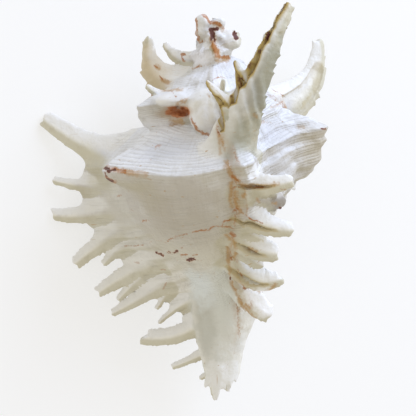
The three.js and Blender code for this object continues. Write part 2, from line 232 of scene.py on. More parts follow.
# %% Wear, lean and the wing's edge
WORN = [
    (-90, 0), (114, 0), (126, 0.19), (156, 0.2), (176, 0.03), (190, 0.03), (204, 0.1), (222, 0.02), (345, 0),
    (372, 0.03), (400, 0.08), (430, 0.1), (560, 0.14), (640, 0.24), (720, 0.34), (1330, 0.36),
]
LEAN = [
    (-34, -10), (-19, -8), (-12, -5), (-4, -4), (3, -2), (9, 0), (18, -1.5), (27, 0), (47, -4), (62, -8),
    (75, -8), (92, 4), (112, 6),
]
SHOULDER_WEAR = smooth_row(WORN, 1, BACKS)
LEAN_DROPS, LEAN_DEGREES = np.array(LEAN, float).T
WING_EDGE = [
    (-192, 4), (-184, 18), (-172, 21), (-165, 24), (-155, 31), (-147, 40), (-138, 51), (-127, 57),
    (-119, 66), (-110, 72), (-103, 74), (-92, 77), (-85, 77), (-77, 75), (-67, 68), (-60, 57), (-56, 44),
    (-50, 10),
]
WING_SHARE = np.where(BACKS < 0, 1, np.clip(1 - BACKS / VARIX_BACK, 0, 1) ** 3)
WING_HEIGHTS = np.linspace(-192, -50, 400)
WING_RADIUS = smooth_row(WING_EDGE, 1, WING_HEIGHTS)
print("most wear, of the radius:", SHOULDER_WEAR.max().round(2))
print("the wing's widest radius, mm:", WING_RADIUS.max().round(1))

# %% [markdown]
# ## The whorl's skin as a distance
#
# For a point in space, its angle about the axis gives one candidate place on each whorl. There the
# profile says how far out the skin lies, and the difference in radius, divided by how steeply the skin
# runs, is close to the true distance. The nearest whorl wins, with the joint slightly rounded.

# %% Looking up a table, joining two solids, cutting one from another
def read(table, back):
    return np.interp(back, BACKS, table)


def meet(a, b, soft):
    """The nearer of two distances, with the crease between the two solids filled to a soft curve."""
    h = np.maximum(soft - np.abs(a - b), 0) / soft
    return np.minimum(a, b) - h * h * soft / 4


def cut(a, b, soft):
    """The solid a with b's solid taken away."""
    h = np.maximum(soft - np.abs(a + b), 0) / soft
    return np.maximum(a, -b) + h * h * soft / 4


print("two skins that are both 1 mm away join to one at, mm:", meet(1.0, 1.0, 2.0))

# %% Where the whorl's skin lies
HALF_HEIGHT_FROM = 0.42


def whorl_skin(back, z):
    """How far out the whorl's skin lies, so many degrees back from the lip and at a height."""
    radius = read(RADIUS, back)
    top = -read(DEPTH, back)
    shrink = read(SHRINK, back)
    rise = (z - top) / radius
    drop = (top - z) / shrink
    above = rise > 0
    share = np.where(above, np.interp(rise, RISES, RAMP_SHARE), np.interp(drop, DROPS, WALL_SHARE))
    below = np.where(above, -rise, drop * shrink / radius)
    reach = np.where(above, KNOB_UP, read(KNOB_DOWN, back))
    swell = read(KNOB_SWELL, back) * np.exp(-(below / reach) ** 4)
    # Up the ramp a varix is only half as high as at the shoulder.
    damp = np.clip((below + HALF_HEIGHT_FROM) / 0.2, 0, 1) * 0.5 + 0.5
    rib_at = np.where(above, -rise * radius / shrink, drop)
    leaning = back - np.interp(rib_at, LEAN_DROPS, LEAN_DEGREES)
    swell = swell + read(VARIX_SWELL, leaning) * damp
    phase = np.interp(rib_at, RIB_DROPS, np.arange(len(RIB_DROPS)))
    rib = (0.5 + 0.5 * np.cos(2 * math.pi * phase)) ** 1.5
    ribs = read(RIB_HEIGHT, leaning) * rib * shrink ** 0.6 * np.clip(share * 2.2, 0, 1)
    worn = read(SHOULDER_WEAR, back)
    blunt = worn * np.exp(-(below / (0.16 + 0.6 * worn)) ** 2)
    skin = (share - blunt) * radius + radius * swell * np.clip(share + 0.15, 0, 1) + ribs
    wing = read(WING_SHARE, back)
    edge = np.interp(z, WING_HEIGHTS, WING_RADIUS, left=0, right=0)
    return np.where(wing > 0, np.maximum(skin, skin + (edge - skin) * wing), skin)


print("the skin's radius just below the lip's shoulder, mm:", whorl_skin(20.0, -80.0).round(1))

# %% Distance to the nearest whorl
RIM_ROUNDING = 1.6


def whorl_distance(points):
    """The distance to the whorls, the distance to the second nearest one, and the place on the nearest."""
    x, y, z = points.T
    r = np.hypot(x, y)
    start = (np.degrees(np.arctan2(y, x)) - LIP_ANGLE) % 360
    nearest = np.full(len(points), 99.0)
    second = np.full(len(points), 99.0)
    which = np.zeros(len(points))
    for whorl in (-1, 0, 1, 2, 3):
        back = start + 360 * whorl
        ok = (back > -80) & (back < OLDEST + 20)
        ok &= r < read(RADIUS, back) * 2.2 + 12
        if not ok.any():
            continue
        b, rr, zz = back[ok], r[ok], z[ok]
        skin = whorl_skin(b, zz)
        steep_z = (whorl_skin(b, zz + 0.4) - skin) / 0.4
        arc = np.maximum(rr, 4) * math.radians(1)
        steep_b = (whorl_skin(b + 1, zz) - skin) / arc
        gap = (rr - skin) / np.sqrt(1 + steep_z ** 2 + steep_b ** 2)
        # Nothing lies ahead of the lip: the newest whorl ends at a plane through the axis.
        ahead = np.where(b < 80, -rr * np.sin(np.radians(b)), -99)
        h = np.maximum(RIM_ROUNDING - np.abs(gap - ahead), 0) / RIM_ROUNDING
        gap = np.maximum(gap, ahead) + h * h * 0.4
        if whorl == 3:
            gap = np.maximum(gap, (b - OLDEST) * 0.1)
        old = nearest[ok]
        soft = np.interp(b, [380, 480, 800], [0.9, 2.2, 3.0])
        nearest[ok] = meet(old, gap, soft)
        second[ok] = np.minimum(second[ok], np.maximum(old, gap))
        which[ok] = np.where(gap < old, b, which[ok])
    return nearest, second, which


print("a point on the shoulder is", whorl_distance(np.array([[-57.0, 5.0, -75.0]]))[0].round(2), "mm away")

# %% [markdown]
# ## Fronds
#
# A frond is a leaf folded along its length, a gutter that stands open on the side that faced the growing
# edge. Each one is a curve with a flattened section that narrows to a blunt, ragged tip. Its margins
# are scalloped, because it was laid down in small steps. The gutter is cut out of it afterwards.
#
# A row gives the root, bend and tip in mm, and the width at the root and at the tip. Lip fronds lie in
# the lip's plane, so their places are a radius and a height, and the last number is how far back the tip
# leans. The flat side of a standing frond faces the way the shell grew, and that of a back frond faces
# out from the axis. The words after that are:
#
# - full: below 1 the leaf narrows early, above 1 late
# - frill: how deep the scallops are; ruffled: which of the two margins has them
# - slot: a narrow groove, 1 the deepest; dish: a wide, shallow gutter; start: where either begins
# - slant: how far the tip is cut at an angle; keel: how far the section leans

# %% The fronds, from the lip round to the canal's tip
def lip_frond(root, bend, tip, wide, back, **looks):
    return dict(kind="lip", root=root, bend=bend, tip=tip, wide=wide, back=back, **looks)


def back_frond(root, bend, tip, wide, **looks):
    return dict(kind="back", root=root, bend=bend, tip=tip, wide=wide, **looks)


def standing_frond(root, bend, tip, wide, **looks):
    return dict(kind="standing", root=root, bend=bend, tip=tip, wide=wide, **looks)


FRONDS = [
    lip_frond((50, -71), (71, -65), (93, -47.5), (26, 8.5), -3, frill=0.03, keel=0.5),
    lip_frond((66, -85), (78, -84), (90, -80), (10, 4.5), 2, frill=0.05),
    lip_frond((64, -98), (80, -101), (94, -98), (15, 6.5), 2, frill=0.05, slant=0.5),
    lip_frond((56, -108), (70, -116), (82, -125), (16, 7), 5, frill=0.06),
    lip_frond((55, -117), (62, -121), (67.5, -127), (9, 4), 2, frill=0.08),
    lip_frond((43, -127), (58, -133), (71, -141), (17, 6.5), 6, frill=0.08),
    lip_frond((50, -136), (56, -141), (61, -146), (8, 3.5), 3, frill=0.07),
    lip_frond((38, -139), (51, -147), (64, -152), (13, 4.5), 7, frill=0.07),
    lip_frond((34, -143), (38, -148), (41, -152), (6, 2.5), 2, frill=0.1),
    lip_frond((26, -149), (34, -154), (40, -159), (7, 2.5), 4, frill=0.06),
    lip_frond((14, -157), (32, -171), (50, -164), (12, 9), 8, frill=0.06, slant=-0.5),
    lip_frond((12, -174), (24, -180), (35, -183), (9, 3.5), 4, frill=0.1),
    lip_frond((12, -185), (17, -189), (21, -191), (6, 2.5), 1),
    standing_frond(
        (30, 22, -55), (58, 40, -46), (56, 38.5, -19), (29, 6.5), full=1, frill=0.12, ruffled=1, dish=1,
    ),
    standing_frond((34, 18, -58), (44, 20, -56), (51, 18, -54.5), (6, 3)),
    standing_frond((24, 20, -66), (38, 36, -70), (43, 53, -66), (13, 6)),
    standing_frond((24, 17, -78), (36, 24, -86), (34, 27, -98), (16, 11), frill=0.1),
    standing_frond((16, 16, -88), (26, 34, -100), (34, 47.7, -100), (12, 5.5)),
    standing_frond((10, 9, -94), (22, 20, -110), (26, 28, -116), (11, 5)),
    standing_frond(
        (-15, 6, -38), (-38, 8, -31), (-31.5, 4, -9.5), (27, 4), full=0.9, frill=0.14, ruffled=1, dish=1,
        start=0.1,
    ),
    standing_frond((-26, -4, -40), (-31, -8, -38), (-35, -10, -33), (8, 3)),
    standing_frond((-20, 12, -52), (-30, 17, -56), (-36, 20, -54), (9, 4)),
    standing_frond((1, -18, -40), (2, -31, -40), (3, -34, -31), (12, 4)),
    standing_frond((12, 8, -34), (24, 14, -32), (27, 17, -22), (10, 3.5)),
    standing_frond((-9, 4, -23.5), (-21, 5, -23), (-25, 4, -13), (11, 3.5), full=0.8),
    standing_frond((-1, -7, -18), (-1, -13, -18), (0, -15, -12), (5, 2)),
    standing_frond((5, -1, -12), (10, -1, -13), (12, -1, -11), (4, 2.5)),
    back_frond(
        (4, -38, -64), (14.5, -53.2, -36), (36, -45, 1.7), (26, 6.5), frill=0.08, ruffled=-1, slot=1,
        full=0.75, start=0.3,
    ),
    back_frond((8, -44, -52), (2, -47, -40), (-6, -44, -31), (13, 3), slot=1),
    back_frond((14, -46, -40), (11, -48, -31), (8, -46, -22), (13, 3), slot=1),
    back_frond((6, -42, -80), (18, -54, -83), (32, -50, -80), (18, 6), slot=0.6, full=0.7),
    back_frond((9, -36, -88), (20, -42, -92), (28, -36, -90), (15, 9), frill=0.1),
    back_frond((6, -36, -95), (17, -47, -103), (31, -44, -105), (19, 7), slot=0.5, full=0.6),
    back_frond((6, -32, -107), (13, -41, -116), (23.5, -38, -117), (19, 8), slot=0.4),
    back_frond((4, -20, -122), (12, -31, -137), (25.5, -29, -131), (19, 7), slot=0.6, slant=0.3),
    back_frond((1, -7.5, -130), (8, -24, -146), (18.5, -22, -152.5), (19, 9), slot=0.3, start=0.45),
    back_frond((5, -33, -101), (11, -40, -107), (17, -39, -110), (12, 5), frill=0.12),
    back_frond((4, -27, -113), (10, -34, -122), (16, -32, -124), (12, 5), frill=0.12),
    back_frond((4, -20, -126), (10, -29, -134), (16, -27, -135), (10, 4), frill=0.12),
    back_frond((8, -36, -76), (19, -44, -84), (25, -42, -88), (12, 5), frill=0.12),
    back_frond((-11, -6, -186), (-12, -7, -193), (-13.5, -8, -200), (9, 3.5), full=1.2),
    back_frond((-14, -5, -184), (-17, -6, -189), (-18, -7, -193), (6, 2.5)),
    back_frond((-6, -6, -185), (-6, -7, -191), (-6.5, -7, -196), (6, 2.5)),
]
print("fronds:", len(FRONDS), "of which on the lip:", sum(frond["kind"] == "lip" for frond in FRONDS))

# %% From a row to a curve in space
FROND_THICKNESS = 0.5
STEPS = 24
LIP_FROND_BACK = 1.5


def unit(v):
    return v / np.maximum(np.linalg.norm(v, axis=-1, keepdims=True), 1e-9)


def in_lip_plane(radius, height, back):
    """A point of the lip's plane, a few millimetres back from it."""
    cos, sin = math.cos(math.radians(LIP_ANGLE)), math.sin(math.radians(LIP_ANGLE))
    return np.array([radius * cos - back * sin, radius * sin + back * cos, height])


def outline_of(frond):
    """Root, bend and tip in space, the flat side's direction, and the way the shell was growing there."""
    root, bend, tip = frond["root"], frond["bend"], frond["tip"]
    if frond["kind"] == "lip":
        side = in_lip_plane(0, 0, 1)
        root, bend = (in_lip_plane(*spot, LIP_FROND_BACK) for spot in (root, bend))
        return root, bend, in_lip_plane(*tip, frond["back"]), side, -side
    root, bend, tip = (np.array(p, float) for p in (root, bend, tip))
    forward = unit(np.array([root[1], -root[0], 0.0]))
    side = -forward if frond["kind"] == "standing" else unit(np.array([root[0], root[1], 0.0]))
    return root, bend, tip, side, forward


def route_of(frond, seed):
    """The curve of one frond with its frame at each step: across, through and the way its gutter opens."""
    root, bend, tip, side, forward = outline_of(frond)
    t = np.linspace(0, 1, STEPS + 1)[:, None]
    spots = (1 - t) ** 2 * root + 2 * t * (1 - t) * bend + t ** 2 * tip
    along = unit(2 * (1 - t) * (bend - root) + 2 * t * (tip - bend))
    across = unit(np.cross(side, along))
    opening = np.empty_like(along)
    for i in range(len(along)):
        forward = unit(forward - (forward @ along[i]) * along[i])
        opening[i] = forward
    length = np.linalg.norm(np.diff(spots, axis=0), axis=1).sum()
    wide = frond["wide"]
    full = frond.get("full", 0.9 if frond["kind"] == "back" else 0.5)
    half = (wide[0] + (wide[1] - wide[0]) * t[:, 0] ** full) / 2
    through = np.cross(along, across)
    return dict(
        frond, spots=spots, along=along, across=across, through=through, opening=opening, length=length,
        half=half, seed=seed,
    )


ROUTES = [route_of(frond, 0.37 * k) for k, frond in enumerate(FRONDS)]
print("the longest frond, mm:", round(max(r["length"] for r in ROUTES), 1))

# %% [markdown]
# ## The leaf and its gutter
#
# For each point the nearest step of the curve is found, and the point is measured from there: across the
# leaf, through it, and towards the side where the gutter opens. The leaf's section is between an ellipse
# and a diamond, so its edges are thin. A saw-like wave along the margins gives the scallops. The gutter
# opens like a V. It begins some way up the leaf and grows deeper bit by bit, as on the real fronds.

# %% Where a point lies along a frond
def near_route(route, points):
    """For points near a frond: how far along it, and where across, through and towards its opening."""
    spots = route["spots"]
    square = ((points[:, None, :] - spots[None]) ** 2).sum(-1)
    j = square.argmin(1)
    step = route["length"] / STEPS
    ahead = ((points - spots[j]) * route["along"][j]).sum(1) / step
    place = j + ahead
    inner = np.clip(place, 0, STEPS)
    i = np.minimum(inner.astype(int), STEPS - 1)
    f = (inner - i)[:, None]

    def at(name):
        return route[name][i] * (1 - f) + route[name][i + 1] * f

    off = points - at("spots")
    a = (off * at("across")).sum(1)
    b = (off * at("through")).sum(1)
    opening = at("opening")
    q = (off * opening).sum(1)
    s = (off * np.cross(at("along"), opening)).sum(1)
    half = np.interp(inner, np.arange(STEPS + 1), route["half"])
    return place / STEPS, a, b, q, s, half


print("the first frond's middle is at", near_route(ROUTES[0], ROUTES[0]["spots"][12:13])[0].round(2), "of it")

# %% Distance to the leaf
SECTION_POWER = 1.5
TIP_ROUNDING = 1.2


def leaf_distance(route, t, a, b, half):
    """The leaf without its gutter: scalloped margins, a thin-edged section and a ragged tip."""
    length, seed, wide = route["length"], route["seed"], route["wide"]
    frill = route.get("frill", 0.06)
    grown = np.clip((t - 0.12) * 3, 0, 1)
    pitch = max(3.4, wide[0] * 0.3)
    margin = np.where(a > 0, 0.0, 0.43)
    frill = frill * np.where(a * route.get("ruffled", 0) < 0, 0.2, 1)
    beat = t * length / pitch
    saw = (beat + seed + margin + 0.4 * np.sin(2.7 * beat + 9 * seed) + 0.3 * np.sin(5 * t + seed)) % 1
    half_a = half * (1 - 0.6 * frill * grown + 2.2 * frill * grown * saw ** 2)
    half_b = half * FROND_THICKNESS
    lean = route.get("keel", 0.0)
    u = np.abs((a - lean * b) / half_a)
    v = np.abs(b / half_b)
    sum_of = np.maximum(u ** SECTION_POWER + v ** SECTION_POWER, 1e-9)
    k0 = sum_of ** (1 / SECTION_POWER)
    rate = sum_of ** (1 / SECTION_POWER - 1)
    ga = rate * u ** (SECTION_POWER - 1) / half_a
    gb = rate * v ** (SECTION_POWER - 1) / half_b
    body = (k0 - 1) / np.maximum(np.hypot(ga, gb), 1 / (1.2 * half_a))
    ragged = 0.5 + 0.5 * np.sin(a * 9 / wide[1] + seed * 11)
    end = (t - 1) * length + 0.14 * wide[1] * ragged + route.get("slant", 0.0) * a
    end += abs(route.get("slant", 0.0)) * wide[1] / 2
    h = np.maximum(TIP_ROUNDING - np.abs(body - end), 0) / TIP_ROUNDING
    body = np.maximum(body, end) + h * h * 0.3
    return np.maximum(body, -t * length - half * 0.8)


print("fronds with a frill of their own:", sum("frill" in route for route in ROUTES))

# %% Distance to the gutter, and the whole frond
def gutter_distance(route, t, q, s, half):
    """What is cut out of the leaf along its open side: a narrow slot, a wide dish or a shallow V."""
    start = route.get("start", 0.04)
    if "slot" in route:
        root_fade, tip_fade = (0.3, 0.45) if route["slot"] < 1 else (0.3, 1)
        fade = np.clip(1 - (t - start) / root_fade, 0, 1) + np.clip((t - tip_fade) / 0.4, 0, 1)
        floor = half * (0.1 - 0.25 * route["slot"] + 0.9 * fade)
        slot = np.abs(s + 0.25 * np.sin(9 * t)) - 0.25 - 0.22 * np.maximum(q - floor, 0)
    elif "dish" in route:
        floor = half * 0.2 + 6 * np.clip((t - 0.65) / 0.35, 0, 1)
        slot = np.abs(s) - 0.5 * half - 0.6 * np.maximum(q - floor, 0)
    else:
        fade = np.clip(1 - t / 0.4, 0, 1) + np.clip((t - 0.8) / 0.4, 0, 1)
        floor = half * (0.22 + 0.5 * fade if route["kind"] == "lip" else 9)
        slot = np.abs(s) - half * 0.1 - 0.9 * np.maximum(q - floor, 0)
    gutter = np.maximum(slot, floor - q)
    return np.maximum(gutter, (start - t) * route["length"])


def frond_distance(route, points):
    """The distances to the leaf and its gutter, and how far towards its open and upper side each point is."""
    t, a, b, q, s, half = near_route(route, points)
    upper = a * np.sign(route["across"][STEPS // 2, 2]) / half
    return leaf_distance(route, t, a, b, half), gutter_distance(route, t, q, s, half), q / half, upper


print("a frond's distance at its bend:", frond_distance(ROUTES[0], ROUTES[0]["spots"][12:13])[0].round(2))

# %% [markdown]
# ## The mouth and its hollow
#
# The animal lived in the last whorl. The hollow is the mouth's outline carried back along the spiral and
# shrinking with it. Further in it keeps away from the worn shoulder, so that the wall stays thick. The
# mouth's edge is raised a little, and the outer lip has small notches where the ribs end.

# %% The mouth's outline
MOUTH = [
    (50, -86), (49, -95), (45, -107), (39, -117), (31, -126), (22, -132), (13, -128), (9, -115), (9, -98),
    (13, -84), (24, -75), (37, -71), (46, -77),
]
PASSAGE_DEGREES = 290


def rounded(outline, times):
    """Cuts the corners of a closed outline again and again, until it is a smooth loop."""
    ring = np.array(outline, float)
    for _ in range(times):
        after = np.roll(ring, -1, axis=0)
        ring = np.stack([ring * 0.75 + after * 0.25, ring * 0.25 + after * 0.75], 1).reshape(-1, 2)
    return ring


MOUTH_RING = rounded(MOUTH, 2)
print("mouth outline:", len(MOUTH_RING), "points")

# %% Distance to the hollow and to its raised rim
def ring_distance(ring, u, v):
    """Signed distance in the plane to a closed outline, negative inside."""
    best = np.full(len(u), 1e9)
    inside = np.zeros(len(u), bool)
    for (x0, y0), (x1, y1) in zip(ring, np.roll(ring, -1, axis=0)):
        ex, ey = x1 - x0, y1 - y0
        k = np.clip(((u - x0) * ex + (v - y0) * ey) / (ex * ex + ey * ey), 0, 1)
        best = np.minimum(best, (u - x0 - k * ex) ** 2 + (v - y0 - k * ey) ** 2)
        if y0 != y1:
            crosses = ((y0 > v) != (y1 > v)) & (u < (x1 - x0) * (v - y0) / (y1 - y0) + x0)
            inside ^= crosses
    return np.where(inside, -1, 1) * np.sqrt(best)


def passage_distance(points):
    """The open space of the last whorl, from the mouth inwards."""
    x, y, z = points.T
    r = np.hypot(x, y)
    start = (np.degrees(np.arctan2(y, x)) - LIP_ANGLE) % 360
    nearest = np.full(len(points), 99.0)
    for whorl in (-1, 0):
        back = start + 360 * whorl
        ok = (back > -45) & (back < PASSAGE_DEGREES + 25)
        ok &= (r < 62) & (z > -145) & (z < -30)
        if not ok.any():
            continue
        b, rr, zz = back[ok], r[ok], z[ok]
        wide = read(RADIUS, b) / LIP_RADIUS
        shrink = read(SHRINK, b)
        gap = ring_distance(MOUTH_RING, rr / wide, (zz + read(DEPTH, b)) / shrink - LIP_DEPTH) * shrink
        gap = gap + np.interp(b, [85, 115, 215, 250], [0, 8, 8, 3])
        ends = np.maximum(b - PASSAGE_DEGREES, -24 - b) * np.radians(1) * np.maximum(rr, 5)
        nearest[ok] = np.minimum(nearest[ok], np.maximum(gap, ends))
    return nearest


def rim_distance(points, passage):
    """The raised edge round the mouth, with the small notches of the outer lip."""
    x, y, z = points.T
    a = math.radians(LIP_ANGLE)
    out = x * math.cos(a) + y * math.sin(a)
    before = x * math.sin(a) - y * math.cos(a)
    notch = 0.35 * np.sin(np.degrees(np.arctan2(z + 100, out - 28)) / 4.2) * np.clip((out - 18) / 12, 0, 1)
    gap = np.hypot(passage - 0.4, before - 0.7) - 1.5 - notch
    return np.where(out > 2, gap, 50)


print("the mouth is open", PASSAGE_DEGREES, "degrees back along the whorl")

# %% [markdown]
# ## The canal
#
# Below the mouth the shell narrows to a long, bent tube, open along its inner side by a slit. It is an
# ellipse that tapers and shifts along its length. A row of CANAL is a height, the middle's x and y, and
# half its width and thickness. Its tip is slanted and ragged, because it is where the shell chips first.

# %% Distance to the canal and its slit
CANAL = [
    (-194, -9, -7, 6.5, 3), (-188, -8.5, -5.5, 8.5, 4.5), (-178, -8, -3.5, 11, 6), (-168, -7, -2, 13.5, 7.5),
    (-156, -4.8, -1, 17.5, 9), (-143, -2.2, 0, 18.5, 10.5), (-131, 0, 0.5, 16, 11), (-118, 1.5, 1, 11, 9),
    (-104, 3, 1, 6, 6),
]
SLIT_WIDTH = 4.5


def canal_distance(points):
    """The distance to the canal's tube, and to the slit in it."""
    x, y, z = points.T
    mx, my, hw, ht = (smooth_row(CANAL, c, z) for c in (1, 2, 3, 4))
    u, v = x - mx, y - my
    k0 = np.sqrt((u / hw) ** 2 + (v / ht) ** 2)
    k1 = np.sqrt((u / hw ** 2) ** 2 + (v / ht ** 2) ** 2)
    gap = np.where(k0 > 0.02, k0 * (k0 - 1) / np.maximum(k1, 1e-6), -ht)
    end = -194 + 0.42 * np.maximum(x + 10, -4) + 0.7 * np.sin(1.9 * x + 1) + 0.4 * np.sin(4.3 * x) - z
    h = np.maximum(2 - np.abs(gap - end), 0) / 2
    gap = np.maximum(gap, end) + h * h * 0.5
    gap = np.maximum(gap, z + 104)
    wide = np.interp(z, [-190, -172, -145, -122], [0.5, 0.85, 1, 1.25])
    bend = 8.5 * np.clip((z + 152) / 30, 0, 1) ** 2 + 0.35 * np.sin(z / 4)
    slit = np.maximum(np.abs(x - mx + bend) - wide * SLIT_WIDTH / 2 - 0.15 * np.maximum(v - 5, 0), 1 - v)
    slit = np.maximum(slit, np.maximum(-190 - z, z + 122))
    return gap, slit


print("the canal is", round(CANAL[-1][0] - CANAL[0][0]), "mm long")

# %% [markdown]
# ## Pillar, lobes and hollows
#
# A solid pillar fills the axis. Where the spire meets the body, the real shell has a white flap with a
# brow to its left and a stained recess between them, and the apex is a lumpy stump with two dark
# grooves. Rounded lobes are joined to the shell for the first, and flat ones are cut from it for the
# recess and the grooves. Each is a middle, three radii and how softly it joins, in mm.

# %% Distance to a lobe
COLUMELLA = [(-150, 1), (-148, 3), (-100, 6), (-34, 6), (-20, 4.6), (-8, 4.2)]
LOBES = [
    ((-4, -26, -44), (11, 8, 8), 5), ((-6, -28.5, -50), (8.5, 6.5, 7.5), 3),
    ((-20.5, -18, -41), (10, 7, 4), 4.5), ((-4.2, -1, -7), (4, 5.5, 6.5), 1.2),
    ((3.6, -1, -6.2), (2.6, 3.5, 3), 1.2), ((0, 0, -12), (7, 7, 4), 1.6), ((7.5, 0, -15), (7, 7, 4.5), 1.6),
    ((12.2, -2, -11.7), (1.4, 1.6, 2), 1), ((-17, -10, -26), (3, 4, 2.6), 1.6),
]
RECESS = ((-22.5, -24, -46.6), (8.5, 9.5, 2.7))
APEX_GROOVES = [((0.2, -8.5, -9.5), (1.4, 3, 4)), ((0, -15, -15.5), (1.1, 2, 4))]


def ball_distance(points, middle, radii):
    """The distance to a ball that is stretched along the three axes."""
    p = (points - np.array(middle)) / np.array(radii)
    k0 = np.linalg.norm(p, axis=1)
    k1 = np.linalg.norm(p / np.array(radii), axis=1)
    return k0 * (k0 - 1) / np.maximum(k1, 1e-6)


print("lobes:", len(LOBES), "grooves of the apex:", len(APEX_GROOVES))

# %% [markdown]
# ## The whole shell in one rule
#
# Everything is joined here. Points are only asked about a frond when they are near it, which keeps the
# work small.

# %% The shell's distance
def close_to(route, points):
    """The numbers of the points that a frond can matter to."""
    reach = route["half"].max() + 3
    low, high = route["spots"].min(0) - reach, route["spots"].max(0) + reach
    return np.nonzero(((points > low) & (points < high)).all(1))[0]


def shell_distance(points):
    """How far each point is from the shell's skin, negative inside it."""
    points = np.asarray(points, float)
    skin = whorl_distance(points)[0]
    x, y, z = points.T
    pillar = np.hypot(x, y) - np.interp(z, *zip(*COLUMELLA))
    pillar = np.maximum(pillar, np.maximum(z + 8, -150 - z))
    skin = meet(skin, pillar, 1.5)
    for middle, radii, soft in LOBES:
        skin = meet(skin, ball_distance(points, middle, radii), soft)
    # The recess and the grooves have wavy edges, as worn places do.
    uneven = points + np.stack([0 * x, 0 * x, 0.5 * np.sin(0.7 * x) + 0.25 * np.sin(2.3 * x)], 1)
    for middle, radii in [RECESS, *APEX_GROOVES]:
        skin = cut(skin, ball_distance(uneven, middle, radii), 1.0)
    canal, slit = canal_distance(points)
    skin = meet(skin, canal, 5.0)
    gutters = []
    for route in ROUTES:
        near = close_to(route, points)
        if not len(near):
            continue
        body, gutter = frond_distance(route, points[near])[:2]
        soft = 0.25 * route["half"][0] + 1.2
        skin[near] = meet(skin[near], body, soft)
        gutters.append((near, gutter))
    for near, gutter in gutters:
        skin[near] = cut(skin[near], gutter, 0.6)
    passage = passage_distance(points)
    skin = meet(skin, rim_distance(points, passage), 1.5)
    skin = cut(skin, passage, 1.2)
    return cut(skin, slit, 0.7)


print("the field at the middle of the body:", shell_distance(np.array([[0.0, -30.0, -100.0]])).round(2))

# %% [markdown]
# ## Sampling the field
#
# The field is read on a coarse grid first. Only where it is near zero is it read again on a grid of
# half the step, and once more, so that most of the space is never computed finely.

# %% Three grids, coarse to fine
FINE_STEP = 0.55
READ_AT_ONCE = 300000
LOW = np.array([-97.0, -60.0, -203.0])
HIGH = np.array([66.0, 60.0, 6.0])


def grid_points(index, step):
    return LOW + np.stack(index, 1) * step


def sample_field():
    """The field on the finest grid, read only near the skin and guessed from the coarser grid elsewhere."""
    step = FINE_STEP * 4
    shape = np.ceil((HIGH - LOW) / step).astype(int) + 1
    index = np.indices(shape).reshape(3, -1)
    field = shell_distance(grid_points(index, step)).reshape(shape).astype(np.float32)
    for level in (1, 2):
        step /= 2
        for axis in range(3):
            take = [slice(None)] * 3
            n = field.shape[axis]
            grown = np.repeat(field, 2, axis)
            take[axis] = slice(0, 2 * n - 1)
            grown = grown[tuple(take)]
            odd, left, right = [slice(None)] * 3, [slice(None)] * 3, [slice(None)] * 3
            odd[axis], left[axis], right[axis] = slice(1, None, 2), slice(0, n - 1), slice(1, n)
            grown[tuple(odd)] = (field[tuple(left)] + field[tuple(right)]) / 2
            field = grown
        near = np.nonzero(np.abs(field) < step * (3.2 if level == 1 else 2.6))
        for part in np.array_split(np.arange(len(near[0])), max(1, len(near[0]) // READ_AT_ONCE)):
            spot = tuple(n[part] for n in near)
            field[spot] = shell_distance(grid_points(spot, step))
        print("grid", field.shape, "step", round(step, 3), "read", len(near[0]), "at", so_far(), "s")
    return field, step


FIELD, STEP = sample_field()

# %% [markdown]
# ## The mesh
#
# Every small cell of the grid that the skin passes through gets one point, at the middle of where the
# skin crosses the cell's edges. Neighbouring cells are joined with four-sided faces. This is the surface
# net, which gives even faces. The points are then pulled exactly onto the skin.

# %% The net of faces over the field
def surface_net(field):
    """One point in each cell that the skin passes through, and a four-sided face across each cut edge."""
    inside = field < 0
    n = np.array(field.shape) - 1
    count = np.zeros(n, np.int8)
    for dx in (0, 1):
        for dy in (0, 1):
            for dz in (0, 1):
                count += inside[dx:dx + n[0], dy:dy + n[1], dz:dz + n[2]]
    cells = np.nonzero((count > 0) & (count < 8))
    number = np.full(n, -1, np.int32)
    number[cells] = np.arange(len(cells[0]))
    total = np.zeros((len(cells[0]), 3))
    hits = np.zeros(len(cells[0]))
    base = np.stack(cells, 1)
    for axis in range(3):
        others = [a for a in range(3) if a != axis]
        for d0 in (0, 1):
            for d1 in (0, 1):
                start = base.copy()
                start[:, others[0]] += d0
                start[:, others[1]] += d1
                end = start.copy()
                end[:, axis] += 1
                fa = field[tuple(start.T)].astype(float)
                fb = field[tuple(end.T)].astype(float)
                crosses = (fa < 0) != (fb < 0)
                t = np.where(crosses, fa / np.where(crosses, fa - fb, 1), 0)
                spot = start - base + 0.0
                spot[:, axis] += t
                total[crosses] += spot[crosses]
                hits += crosses
    points = LOW + (base + total / hits[:, None]) * STEP
    faces = []
    for axis in range(3):
        others = [a for a in range(3) if a != axis]
        a = [slice(1, -1)] * 3
        b = [slice(1, -1)] * 3
        a[axis], b[axis] = slice(0, -1), slice(1, None)
        first, second = inside[tuple(a)], inside[tuple(b)]
        spots = np.stack(np.nonzero(first != second), 1)
        spots[:, others] += 1
        outward = inside[tuple(spots.T)]
        quad = []
        for d0, d1 in ((0, 0), (1, 0), (1, 1), (0, 1)):
            cell = spots.copy()
            cell[:, others[0]] -= 1 - d0
            cell[:, others[1]] -= 1 - d1
            quad.append(number[tuple(cell.T)])
        quad = np.stack(quad, 1)
        flip = outward if axis != 1 else ~outward
        quad[~flip] = quad[~flip][:, ::-1]
        faces.append(quad)
    return points, np.concatenate(faces)


POINTS, FACES = surface_net(FIELD)
print("net:", len(POINTS), "points,", len(FACES), "faces at", so_far(), "s")

